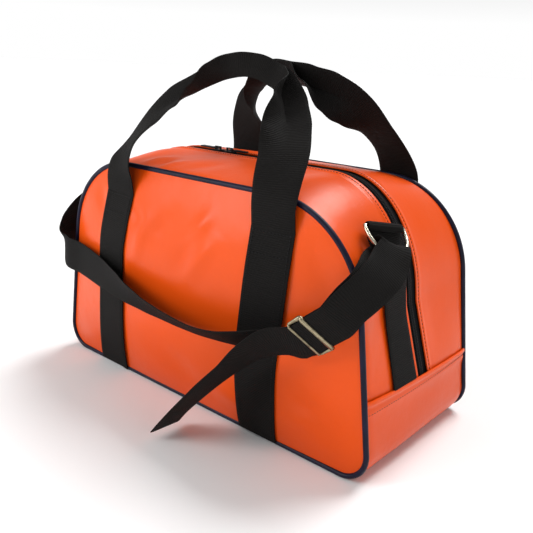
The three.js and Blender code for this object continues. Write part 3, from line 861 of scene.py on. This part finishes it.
def repeat_along(name, paths, tree, inputs, material, body, replaces=()):
    """Runs a tree over poly paths and keeps the result as a plain mesh."""
    points, edges = [], []
    for path in paths:
        start = len(points)
        points.extend(np.asarray(path).tolist())
        edges.extend((start + i, start + i + 1) for i in range(len(path) - 1))
    mesh = bpy.data.meshes.new(f"{name}_paths")
    mesh.from_pydata(points, edges, [])
    carrier = bpy.data.objects.new(f"{name}_paths", mesh)
    bpy.context.scene.collection.objects.link(carrier)
    modifier = carrier.modifiers.new("repeat", "NODES")
    modifier.node_group = tree
    for item in tree.interface.items_tree:
        if item.item_type == "SOCKET" and item.in_out == "INPUT" and item.name in inputs:
            modifier[item.identifier] = inputs[item.name]
    graph = bpy.context.evaluated_depsgraph_get()
    made = bpy.data.meshes.new_from_object(carrier.evaluated_get(graph))
    bpy.data.objects.remove(carrier)
    bpy.data.meshes.remove(mesh)
    if not made.polygons:
        raise RuntimeError(f"{name}: the tree made nothing")
    made.name = name
    return finish_piece(name, made, material, body, replaces, sharp=50)


# ---- zip --------------------------------------------------------------------


class HOLDALL_OT_zip(bpy.types.Operator):
    """Make the zip's tapes and its two rows of teeth"""

    bl_idname = "holdall.zip"
    bl_label = "Zip"

    def execute(self, context):
        bag, cloth = workshop(context)
        stations = bag.over_top(0.005, bag.size.seam_height + 0.001)
        tree = repeat_tree("zip_teeth", "zip_nylon", cloth.tooth)
        for side, where in ((-1, "front"), (1, "rear")):
            ys = side * np.array([0.0006, 0.003, 0.006, 0.01, 0.0155])
            outer, inner = gusset_grid(bag, stations, ys, -TAPE_DEPTH, TAPE_THICK)
            points, faces = closed_sheet(outer, inner)
            make_piece(
                f"{where}_zip_tape", points, faces, "zip_tape_cloth", "bag",
                [f"zip_tape_{where}"],
            )
            path = bag.gusset(stations, side * 0.0018, -0.0012)
            repeat_along(
                f"{where}_zip_teeth", [path], tree,
                {"Pitch": cloth.tooth, "Length": TOOTH_LENGTH, "Thickness": TOOTH_THICK,
                 "Lie across": True},
                "zip_nylon", "bag", [f"zip_coil_{where}"],
            )
        return {"FINISHED"}


# ---- webbing ----------------------------------------------------------------


def distances(points, power=1):
    """Length along the points up to each of them."""
    steps = np.linalg.norm(np.diff(points, axis=0), axis=1) ** power
    return np.concatenate([[0], np.cumsum(steps)])


def through(points, count):
    """Even steps along a smooth curve through the points, and where they fall."""
    points = np.asarray(points, float)
    ends = np.stack([2 * points[0] - points[1], 2 * points[-1] - points[-2]])
    padded = np.concatenate([ends[:1], points, ends[1:]])
    knots = distances(padded, 0.5)
    fine = 24
    samples, places = [], []
    for i in range(1, len(padded) - 2):
        p0, p1, p2, p3 = padded[i - 1 : i + 3]
        t0, t1, t2, t3 = knots[i - 1 : i + 3]
        for step in range(fine + (i == len(padded) - 3)):
            t = t1 + (t2 - t1) * step / fine
            a1 = (t1 - t) / (t1 - t0) * p0 + (t - t0) / (t1 - t0) * p1
            a2 = (t2 - t) / (t2 - t1) * p1 + (t - t1) / (t2 - t1) * p2
            a3 = (t3 - t) / (t3 - t2) * p2 + (t - t2) / (t3 - t2) * p3
            b1 = (t2 - t) / (t2 - t0) * a1 + (t - t0) / (t2 - t0) * a2
            b2 = (t3 - t) / (t3 - t1) * a2 + (t - t1) / (t3 - t1) * a3
            samples.append((t2 - t) / (t2 - t1) * b1 + (t - t1) / (t2 - t1) * b2)
            places.append(i - 1 + step / fine)
    samples = np.array(samples)
    run = distances(samples)
    even = np.linspace(0, run[-1], count)
    placed = np.interp(even, run, places)
    spaced = np.stack([np.interp(even, run, samples[:, i]) for i in range(samples.shape[1])], -1)
    return spaced, placed, even


def webbing_ribbon(stations, thick, step=0.003, across=13):
    """Closed ribbon of webbing with its lengths as UVs.

    A station is (place, edge direction, width, fold, cup): fold 1 lays the
    lower half behind the upper one, and cup is the half angle of its curl.
    """
    places, edges, widths, folds, cups = (np.array(row, float) for row in zip(*stations))
    edges = unit(edges)
    count = max(12, int(distances(places)[-1] / step))
    centre, where, run = through(places, count)
    order = np.arange(len(stations))
    ease = np.floor(where) + smoothstep(where - np.floor(where))
    edge = np.stack([np.interp(ease, order, edges[:, i]) for i in range(3)], -1)
    for _ in range(5):
        padded_edge = np.pad(edge, ((2, 2), (0, 0)), mode="edge")
        edge = sum(padded_edge[i : i + len(edge)] for i in range(5)) / 5
    tangent = unit(np.gradient(centre, axis=0))
    keep = np.ones((count, 1))
    keep[0] = keep[-1] = 0
    edge = unit(edge - keep * np.sum(edge * tangent, 1, keepdims=True) * tangent)
    face = unit(np.cross(tangent, edge))
    width, fold, cup = (np.interp(ease, order, values) for values in (widths, folds, cups))
    half = np.linspace(-1, 1, across)
    half = np.sign(half) * np.abs(half) ** 0.8
    fine = np.linspace(-1, 1, 241)
    sections, uvs = [], []
    for i in range(count):
        turn = math.pi * fold[i] * smoothstep((0.1 - fine) / 0.2) + cup[i] * fine
        reach = width[i] / 2
        e = np.cumsum(np.cos(turn)) * reach / 120
        n = np.cumsum(-np.sin(turn)) * reach / 120
        e, n = e - e[120], n - n[120]
        e = e - fold[i] * reach / 2
        n = n - n.mean() * (1 - fold[i])
        at_e, at_n = np.interp(half, fine, e), np.interp(half, fine, n)
        angle = np.interp(half, fine, turn)
        selvedge = ((np.abs(half) - 0.93) / 0.07).clip(0, 1)
        off = thick / 2 * np.sqrt(1 - 0.75 * selvedge**2)
        up_e, up_n = at_e + np.sin(angle) * off, at_n + np.cos(angle) * off
        lo_e, lo_n = at_e - np.sin(angle) * off, at_n - np.cos(angle) * off
        both_e = np.concatenate([up_e, lo_e[::-1]])[:, None]
        both_n = np.concatenate([up_n, lo_n[::-1]])[:, None]
        sections.append(centre[i] + both_e * edge[i] + both_n * face[i])
        flat = half * reach
        both = np.concatenate([flat, flat[::-1]])
        uvs.append(np.stack([both, np.full(len(both), run[i])], -1))
    points, faces = loft(np.array(sections))
    return points, faces, np.array(uvs).reshape(-1, 2), run[-1]


def on_panel(bag, side, x, z, width, thick):
    """Webbing lying flat on a panel: its middle and its edge direction."""
    reach = width / 2
    low, middle, high = (bag.panel_y(side, at, z) for at in (x - reach, x, x + reach))
    slope = (high - low) / width
    proud = max(side * middle, side * (low + high) / 2)
    return (x, side * (proud + WEBBING_GAP + thick / 2), z), (1, slope, 0)


STITCH_HEIGHT = 0.226  # where the handles leave the bag
# Sewn webbing of each handle: side of the bag, then x and z going up.
LEGS = {
    "front_left": (-1, [
        (-0.140, 0.003), (-0.138, 0.012), (-0.1305, 0.045), (-0.1245, 0.079),
        (-0.1205, 0.113), (-0.119, 0.163), (-0.1145, 0.19), (-0.110, STITCH_HEIGHT),
    ]),
    "front_right": (-1, [
        (0.1015, 0.003), (0.102, 0.012), (0.106, 0.05), (0.1085, 0.09),
        (0.114, 0.15), (0.116, 0.185), (0.116, STITCH_HEIGHT),
    ]),
    "rear_left": (1, [(-0.12, 0.003), (-0.12, 0.06), (-0.12, 0.14), (-0.12, STITCH_HEIGHT)]),
    "rear_right": (1, [(0.116, 0.003), (0.116, 0.06), (0.116, 0.14), (0.116, STITCH_HEIGHT)]),
}

# Free webbing over each grip, in millimetres: place, upper edge, fold.
FRONT_LOOP = [
    ((-109.5, -111.5, 245), (-1, 0.06, 0), 0),
    ((-106, -111, 263), (-0.93, 0.32, 0.05), 0),
    ((-100, -102, 283), (-0.76, 0.62, 0.12), 0),
    ((-88, -85, 308), (-0.66, 0.66, 0.36), 0),
    ((-71, -68, 329), (-0.55, 0.48, 0.66), 0.16),
    ((-50, -53, 345), (-0.4, 0.42, 0.8), 0.4),
    ((-28, -42, 358), (-0.22, 0.45, 0.86), 0.64),
    ((-5, -35, 366), (-0.06, 0.48, 0.86), 0.85),
    ((18, -31, 368), (0.08, 0.5, 0.86), 0.95),
    ((42, -31, 362), (0.3, 0.48, 0.82), 1),
    ((62, -37, 352), (0.62, 0.42, 0.66), 0.86),
    ((80, -51, 334), (0.86, 0.42, 0.3), 0.5),
    ((95, -69, 314), (0.92, 0.38, 0.1), 0.2),
    ((108, -90, 291), (0.93, 0.36, 0.02), 0),
    ((114, -105, 268), (0.98, 0.18, 0), 0),
    ((115.5, -110.5, 248), (1, 0.04, 0), 0),
]
REAR_LOOP = [
    ((-120, 111, 246), (-1, -0.05, 0.05), 0),
    ((-118, 109, 264), (-1, -0.06, 0.1), 0),
    ((-113, 101, 287), (-0.95, -0.12, 0.3), 0),
    ((-99, 89, 312), (-0.78, -0.08, 0.6), 0),
    ((-78, 74, 333), (-0.62, 0.05, 0.75), 0.22),
    ((-52, 56, 350), (-0.4, 0.1, 0.85), 0.55),
    ((-22, 41, 362), (-0.12, -0.1, 0.95), 0.85),
    ((10, 33, 363), (0.1, -0.2, 0.95), 1),
    ((40, 32, 356), (0.34, -0.15, 0.9), 0.7),
    ((64, 40, 345), (0.48, -0.15, 0.86), 0.36),
    ((86, 54, 329), (0.68, -0.22, 0.66), 0.1),
    ((104, 75, 306), (0.87, -0.35, 0.25), 0),
    ((114, 97, 280), (0.97, -0.14, -0.05), 0),
    ((117, 110, 254), (1, 0, 0), 0),
]


class HOLDALL_OT_handles(bpy.types.Operator):
    """Make the sewn handle webbing and the two free handles"""

    bl_idname = "holdall.handles"
    bl_label = "Handles"

    def execute(self, context):
        bag, cloth = workshop(context)
        width, thick = cloth.handle_width, cloth.handle_thick
        heads = {}
        for name, (side, route) in LEGS.items():
            stations = []
            for x, z in route:
                place, edge = on_panel(bag, side, x, z, width, thick)
                stations.append((place, edge, width, 0, 0))
            heads[name] = stations[-1]
            points, faces, uvs, _ = webbing_ribbon(stations, thick)
            make_piece(
                f"sewn_webbing_{name}", points, faces, "handle_weave", "bag",
                [f"handle_webbing_{name}"], uvs,
            )
        for where, side, loop in (("front", -1, FRONT_LOOP), ("rear", 1, REAR_LOOP)):
            first, last = heads[f"{where}_left"], heads[f"{where}_right"]
            turned = tuple(-value for value in first[1])
            stations = [(first[0], turned, width, 0, 0)]
            for place, edge, fold in loop:
                stations.append((np.array(place) * MM, edge, width, fold, 0))
            stations.append((last[0], last[1], width, 0, 0))
            points, faces, uvs, _ = webbing_ribbon(stations, thick)
            piece = make_piece(
                f"{where}_handle_webbing", points, faces, "handle_weave", None,
                [f"{where}_handle"], uvs,
            )
            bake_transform(piece)
        return {"FINISHED"}


# ---- rings, tabs, strap and buckle ------------------------------------------


def ring_axes(hand):
    flip = np.array([hand, 1, 1])
    along = unit(np.array(RING_ALONG) * flip)
    down = np.array(RING_DOWN) * flip
    down = unit(down - down @ along * along)
    away = np.cross(down, along) * hand
    return np.array(RING_BAR) * flip, along, down, away


def ring_point(hand, across, drop, off):
    bar, along, down, away = ring_axes(hand)
    return bar + along * across + down * drop + away * off


RING_HALF = 0.0226
RING_DROP = 0.028
RING_WIRE = 0.002


def ring_path():
    turn = np.linspace(0, np.pi, 41)
    power = 2 / 2.6
    across = RING_HALF * np.sign(np.cos(turn)) * np.abs(np.cos(turn)) ** power
    drop = RING_DROP * np.sin(turn) ** power
    bar = np.linspace(-1, 1, 9)[1:-1] * RING_HALF
    return np.concatenate([np.stack([across, drop], -1), np.stack([bar, bar * 0], -1)])


class HOLDALL_OT_rings(bpy.types.Operator):
    """Make the D-rings and the webbing tabs that hold them"""

    bl_idname = "holdall.rings"
    bl_label = "Rings and tabs"

    def execute(self, context):
        bag, cloth = workshop(context)
        size = bag.size
        for hand, where in ((-1, "left"), (1, "right")):
            _, _, _, away = ring_axes(hand)
            path = np.array([ring_point(hand, across, drop, 0) for across, drop in ring_path()])
            sections = tube_sections(path, RING_WIRE, 14, away, closed=True)
            points, faces = loft(sections, closed=True)
            make_piece(
                f"{where}_ring_wire", points, faces, "ring_wire_metal", f"{where}_ring",
                [f"{where}_d_ring"], sharp=60,
            )
            stations = self.tab(bag, size, hand, cloth)
            points, faces, uvs, _ = webbing_ribbon(stations, TAB_THICK, step=0.0015)
            make_piece(
                f"{where}_tab_webbing", points, faces, "strap_weave", "bag",
                [f"{where}_ring_tab"], uvs,
            )
        return {"FINISHED"}

    def tab(self, bag, size, hand, cloth):
        _, along, _, _ = ring_axes(1)
        reach = cloth.strap_width / 2
        climb = bag.right_high(0.02, size.seam_height + 0.005)
        climb = climb[climb[:, 3] < math.sin(math.radians(31))]
        climb = climb[:: max(1, len(climb) // 8)]
        flip = np.array([hand, 1, 1])
        stations = []
        for station in climb:
            shift = smoothstep((station[1] - 0.15) / 0.06)
            y = -0.037 - 0.003 * shift
            near, far = (bag.gusset(station, y + d, 0.0016) for d in (reach, -reach))
            outward_way = np.array([station[2], 0, station[3]])
            proud = max((bag.gusset(station, y, 0.0016) - (near + far) / 2) @ outward_way, 0)
            place = (near + far) / 2 + outward_way * (proud + 0.0012 + 0.003 * shift)
            edge = unit(far - near) * (1 - 0.5 * shift) - along * 0.5 * shift
            stations.append((place * flip, edge * flip, cloth.strap_width, 0, 0))
        for turn in (-15, 15, 45, 75, 105, 135, 165, 195, 225, 255, 280):
            angle = math.radians(turn)
            drop, off = -SLEEVE_RADIUS * math.sin(angle), -SLEEVE_RADIUS * math.cos(angle)
            place = ring_point(hand, 0, drop, off)
            stations.append((place, -along * flip, cloth.strap_width, 0, 0))
        return stations


def buckle_axes():
    along = unit(np.array(BUCKLE_ALONG))
    edge = np.array(BUCKLE_EDGE)
    edge = unit(edge - edge @ along * along)
    return along, edge, np.cross(along, edge)


STRAP_LAYER = 0.0021

# Strap from the buckle to the right ring, in millimetres: place of the outer
# layer, its upper edge, then how far behind and upwards the inner layer lies.
RING_RUN = [
    ((212.5, -118.5, 179), (-0.42, -0.53, 0.74), 3, 0.5),
    ((218.5, -104, 190), (-0.42, -0.62, 0.66), 4.5, 1),
    ((220.5, -87, 200), (-0.44, -0.74, 0.5), 7, 2.5),
    ((218, -70, 208.5), (-0.46, -0.84, 0.34), 10, 3),
]
LEFT_RUN = [
    ((-221, -66, 200), (0.25, -0.88, 0.35)),
    ((-228, -80, 184), (0.15, -0.8, 0.6)),
    ((-235, -94, 160), (0.1, -0.4, 0.9)),
    ((-232, -107, 141), (0.18, -0.1, 0.97)),
    ((-217, -114.5, 133.5), (0.14, 0, 1)),
    ((-190, -115.5, 132), (0.1, 0, 1)),
    ((-160, -120, 130), (0.09, -0.03, 1)),
    ((-128, -125.5, 127), (0.07, -0.08, 1)),
    ((-95, -131, 123.5), (0.05, -0.26, 0.96)),
    ((-55, -137, 119.5), (0.02, -0.52, 0.86)),
    ((-15, -141, 116.5), (0, -0.68, 0.74)),
    ((25, -143.5, 115), (0, -0.76, 0.66)),
    ((60, -145, 116), (0, -0.82, 0.58)),
    ((90, -143.5, 119), (-0.06, -0.82, 0.58)),
    ((118, -140, 124.5), (-0.15, -0.76, 0.64)),
    ((146, -137, 131), (-0.25, -0.66, 0.72)),
]
TAIL_RUN = [
    ((151, -143, 134.5), (-0.32, -0.64, 0.7)),
    ((131, -149.5, 121), (-0.2, -0.86, 0.46)),
    ((110, -153, 100), (-0.1, -0.96, 0.24)),
    ((89, -156, 79), (-0.06, -0.98, 0.19)),
    ((70, -159, 58), (-0.01, -0.99, 0.15)),
    ((51, -162, 36), (0, -1, 0.1)),
    ((37, -164, 19), (0.02, -1, 0.05)),
    ((28, -165, 7), (0.03, -0.99, 0.09)),
]


class HOLDALL_OT_strap(bpy.types.Operator):
    """Make the shoulder strap and its slide"""

    bl_idname = "holdall.strap"
    bl_label = "Strap and buckle"

    def execute(self, context):
        _, cloth = workshop(context)
        width, thick = cloth.strap_width, cloth.strap_thick
        along, edge, face = buckle_axes()
        centre = np.array(BUCKLE_AT)

        def straight(off):
            steps = (-20, -14, 0, 12, 24, 28)
            return [(centre + along * d * MM + face * off, edge, width, 0, 0) for d in steps]

        def ring_turn(hand):
            _, bar, down, _ = ring_axes(hand)
            stations = []
            for turn in (0, 45, 90, 135, 180):
                angle = math.radians(turn)
                drop = 0.025 - 0.005 * math.sin(angle)
                place = ring_point(hand, -0.002, drop, -0.006 * math.cos(angle))
                stations.append((place, -bar * 0.93 - down * 0.36, 0.033, 0, 0.35))
            return stations

        outer = [(np.array(p) * MM, e, width, 0, 0) for p, e, _, _ in RING_RUN]
        inner = []
        for i, (place, way, behind, shift) in enumerate(RING_RUN):
            before = outer[i - 1][0] if i else centre + along * 0.024
            after = outer[i + 1][0] if i + 1 < len(outer) else ring_turn(1)[4][0]
            side = unit(np.array(way, float))
            back = unit(np.cross(after - before, side))
            moved = np.array(place) * MM - back * behind * MM + side * shift * MM
            inner.append((moved, way, width, 0, 0))
        stations = [
            (np.array((-214, -79, 184)) * MM, (-0.3, -0.75, 0.55), width, 0, 0),
            (np.array((-211, -66, 196)) * MM, (-0.35, -0.88, 0.32), width, 0, 0),
            *ring_turn(-1),
            *[(np.array(p) * MM, e, width, 0, 0) for p, e in LEFT_RUN],
            *straight(0),
            *inner,
            *ring_turn(1),
            *outer[::-1],
            *straight(STRAP_LAYER)[:1:-1],
            (centre - along * 0.009 + face * STRAP_LAYER, edge, width, 0, 0),
            *[(np.array(p) * MM, e, width, 0, 0) for p, e in TAIL_RUN],
        ]
        points, faces, uvs, total = webbing_ribbon(stations, thick, step=0.0028)
        strap = make_piece(
            "strap_webbing_run", points, faces, "strap_weave", "strap",
            ["shoulder_strap"], uvs,
        )
        self.slide(along, edge, face, centre, width, thick)
        return {"FINISHED"}

    def slide(self, along, edge, face, centre, width, thick):
        """Three-bar slide: rounded rods in one frame, bent over the strap."""
        half = width / 2 + 0.0021
        reach = 0.0072
        high = STRAP_LAYER + thick / 2 + 0.0016
        low = -thick / 2 - 0.0016
        middle = (high + low) / 2
        corner = 0.0018
        outline = []
        for sx, sy in ((1, 1), (-1, 1), (-1, -1), (1, -1)):
            start = math.atan2(sy, sx) - math.pi / 4
            for turn in np.linspace(0, math.pi / 2, 7):
                outline.append((sx * (reach - corner) + corner * math.cos(start + turn),
                                sy * (half - corner) + corner * math.sin(start + turn)))
        points, faces = [], []

        def rod(path, radius, closed):
            nonlocal points, faces
            made, ring = loft(tube_sections(path, radius, 12, face, closed), closed)
            start = len(points)
            points = [*points, *made]
            faces = [*faces, *[[index + start for index in f] for f in ring]]

        def at(a, e, level):
            over = smoothstep((half - 0.0006 - abs(e)) / 0.002)
            return centre + along * a + edge * e + face * (middle + (level - middle) * over)

        rounded = [at(a, e, high) for a, e in outline]
        girth = [0.00125 + 0.0009 * smoothstep((a + 0.004) / 0.008) for a, _ in outline]
        rod(rounded, np.array(girth), True)
        rod([at(0, e, low) for e in np.linspace(-half, half, 41)], 0.0013, False)
        make_piece(
            "strap_slide", points, faces, "slide_metal", "buckle",
            ["strap_buckle"], sharp=60,
        )


# ---- stitching --------------------------------------------------------------


class HOLDALL_OT_stitching(bpy.types.Operator):
    """Sew the visible rows of stitches"""

    bl_idname = "holdall.stitching"
    bl_label = "Stitching"

    def execute(self, context):
        bag, cloth = workshop(context)
        size = bag.size
        tree = repeat_tree("stitch_row", "thread_fibre", cloth.pitch)
        sizes = {"Pitch": cloth.pitch, "Length": cloth.stitch, "Thickness": cloth.thread}
        rows = []
        stations = bag.over_top(0.004, size.seam_height + 0.001)
        for side in (-1, 1):
            rows.append(bag.gusset(stations, side * (ZIP_HALF + HEM_ROW), 0.0006))
        ys = np.linspace(-bag.seam_y + 0.004, bag.seam_y - 0.004, 60)
        for hand in (-1, 1):
            z = size.seam_height - END_ROW
            station = bag.side(z, z, 1)[0] * np.array([hand, 1, hand, 1])
            rows.append(bag.gusset(np.repeat(station[None], len(ys), 0), ys, 0.0014))
        repeat_along("hem_stitches", rows, tree, sizes, "thread_fibre", "bag")
        webbing_rows = []
        width, thick = cloth.handle_width, cloth.handle_thick
        for side, route in LEGS.values():
            for across in (-EDGE_ROW, EDGE_ROW):
                webbing_rows.append(self.leg_row(bag, side, route, across, cloth))
            x = route[-1][0]
            for z in (STITCH_HEIGHT - 0.003, STITCH_HEIGHT - 0.024):
                place, way = on_panel(bag, side, x, z, width, thick)
                span = np.linspace(-EDGE_ROW, EDGE_ROW, 20)[:, None]
                lift = np.array([0, side * (thick / 2 + THREAD_LIFT), 0])
                webbing_rows.append(np.array(place) + unit(way) * span + lift)
        repeat_along(
            "webbing_stitches", webbing_rows, tree, sizes, "zip_nylon", "bag"
        )
        return {"FINISHED"}

    def leg_row(self, bag, side, route, across, cloth):
        xs, zs = np.array(route).T
        z = np.linspace(0.012, STITCH_HEIGHT - 0.003, 60)
        row = []
        for x, height in zip(np.interp(z, zs, xs), z):
            place, way = on_panel(bag, side, x, height, cloth.handle_width, cloth.handle_thick)
            lift = np.array([0, side * (cloth.handle_thick / 2 + THREAD_LIFT), 0])
            row.append(np.array(place) + unit(way) * across + lift)
        return np.array(row)


class HOLDALL_OT_frame_finish(bpy.types.Operator):
    """Give the carried nodes their finishes"""

    bl_idname = "holdall.frame_finish"
    bl_label = "Sliders, pulls and board"

    def execute(self, context):
        materials = finishes(context.scene)
        wanted = {
            "base_board": "pressed_board",
            "zip_slider_left": "zip_nylon",
            "zip_slider_right": "zip_nylon",
            "zip_pull_left": "zip_nylon",
            "zip_pull_right": "zip_nylon",
        }
        for node, material in wanted.items():
            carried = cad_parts[node]
            for slot in carried.material_slots:
                slot.material = materials[material]
        return {"FINISHED"}


# ---- stage ------------------------------------------------------------------


class HOLDALL_OT_stage(bpy.types.Operator):
    """Set up the floor, the soft studio light and the camera"""

    bl_idname = "holdall.stage"
    bl_label = "Floor, light and camera"

    def execute(self, context):
        scene = context.scene
        self.floor(scene)
        self.sky(scene)
        self.sun(scene, "key_light", (-0.9, -1.3, 1.2), 0.6, 35)
        self.sun(scene, "top_light", (0.05, 0.85, 1.4), 2.6, 30)
        self.lamp(scene, "front_softbox", (-0.85, -1.3, 0.7), 0.7, 8.5)
        self.lamp(scene, "end_softbox", (1.5, -0.3, 0.9), 0.6, 1.5)
        self.camera(scene)
        scene.view_settings.view_transform = "Standard"
        return {"FINISHED"}

    def floor(self, scene):
        mesh = bpy.data.meshes.new("floor")
        half = 30
        corners = [(-half, -half, 0), (half, -half, 0), (half, half, 0), (-half, half, 0)]
        mesh.from_pydata(corners, [], [(0, 1, 2, 3)])
        floor = bpy.data.objects.new("floor", mesh)
        scene.collection.objects.link(floor)
        paper = Finish("pale_floor")
        mottle = paper.cloud(3, 2)
        mesh.materials.append(paper.shader(
            Base_Color=paper.blend(mottle, (0.93, 0.93, 0.93), (0.95, 0.95, 0.95)), Roughness=0.9
        ))

    def sky(self, scene):
        """White along the horizon and dimmer overhead."""
        world = bpy.data.worlds.new("studio")
        world.use_nodes = True
        nodes, links = world.node_tree.nodes, world.node_tree.links
        place = nodes.new("ShaderNodeTexCoord")
        split = nodes.new("ShaderNodeSeparateXYZ")
        links.new(place.outputs["Generated"], split.inputs[0])
        dim = nodes.new("ShaderNodeMapRange")
        dim.inputs["From Min"].default_value = 0.06
        dim.inputs["From Max"].default_value = 0.3
        dim.inputs["To Min"].default_value = 1.0
        dim.inputs["To Max"].default_value = 0.36
        links.new(split.outputs["Z"], dim.inputs["Value"])
        backdrop = nodes["Background"]
        backdrop.inputs["Color"].default_value = (1, 1, 1, 1)
        links.new(dim.outputs[0], backdrop.inputs["Strength"])
        scene.world = world

    def sun(self, scene, name, way, strength, spread):
        data = bpy.data.lights.new(name, "SUN")
        data.energy = strength
        data.angle = math.radians(spread)
        lamp = bpy.data.objects.new(name, data)
        lamp.rotation_euler = Vector(way).to_track_quat("Z", "Y").to_euler()
        scene.collection.objects.link(lamp)

    def lamp(self, scene, name, place, size, power):
        data = bpy.data.lights.new(name, "AREA")
        data.shape = "DISK"
        data.size = size
        data.energy = power
        lamp = bpy.data.objects.new(name, data)
        lamp.location = place
        aim = Vector((0, 0, 0.12)) - Vector(place)
        lamp.rotation_euler = aim.to_track_quat("-Z", "Y").to_euler()
        scene.collection.objects.link(lamp)

    def camera(self, scene):
        data = bpy.data.cameras.new("camera")
        data.sensor_width = 36
        data.lens = 44.97
        data.clip_start = 0.05
        data.clip_end = 30
        camera = bpy.data.objects.new("camera", data)
        place = Vector((0.4984, -0.5674, 0.3738))
        target = Vector((0.017, 0, 0.1443))
        roll = math.radians(2.44)
        aim = (target - place).to_track_quat("-Z", "Y")
        camera.rotation_mode = "QUATERNION"
        camera.location = place
        camera.rotation_quaternion = aim @ Matrix.Rotation(roll, 4, "Z").to_quaternion()
        scene.collection.objects.link(camera)
        scene.camera = camera


class HOLDALL_PT_panel(bpy.types.Panel):
    """Buttons and sizes for the holdall"""

    bl_label = "Holdall"
    bl_idname = "HOLDALL_PT_panel"
    bl_space_type = "VIEW_3D"
    bl_region_type = "UI"
    bl_category = "Holdall"

    def draw(self, context):
        for name in GROUPS:
            group = getattr(context.scene, name)
            column = self.layout.column(align=True)
            for name in group.__annotations__:
                column.prop(group, name)
        column = self.layout.column()
        for step in STEPS:
            column.operator(step.bl_idname)


STEPS = (
    HOLDALL_OT_stage,
    HOLDALL_OT_panels,
    HOLDALL_OT_gussets,
    HOLDALL_OT_piping,
    HOLDALL_OT_zip,
    HOLDALL_OT_handles,
    HOLDALL_OT_rings,
    HOLDALL_OT_strap,
    HOLDALL_OT_stitching,
    HOLDALL_OT_frame_finish,
)
GROUPS = {
    "holdall_body": HoldallBody,
    "holdall_webbing": HoldallWebbing,
    "holdall_finish": HoldallFinish,
}


def register():
    for kind in (*GROUPS.values(), *STEPS, HOLDALL_PT_panel):
        bpy.utils.register_class(kind)
    for name, group in GROUPS.items():
        setattr(bpy.types.Scene, name, bpy.props.PointerProperty(type=group))


def unregister():
    for name in GROUPS:
        delattr(bpy.types.Scene, name)
    for kind in reversed((*GROUPS.values(), *STEPS, HOLDALL_PT_panel)):
        bpy.utils.unregister_class(kind)


def main():
    register()
    for step in STEPS:
        group, name = step.bl_idname.split(".")
        if getattr(getattr(bpy.ops, group), name)() != {"FINISHED"}:
            raise RuntimeError(f"{step.bl_label} was not finished")


if __name__ == "__main__":
    main()
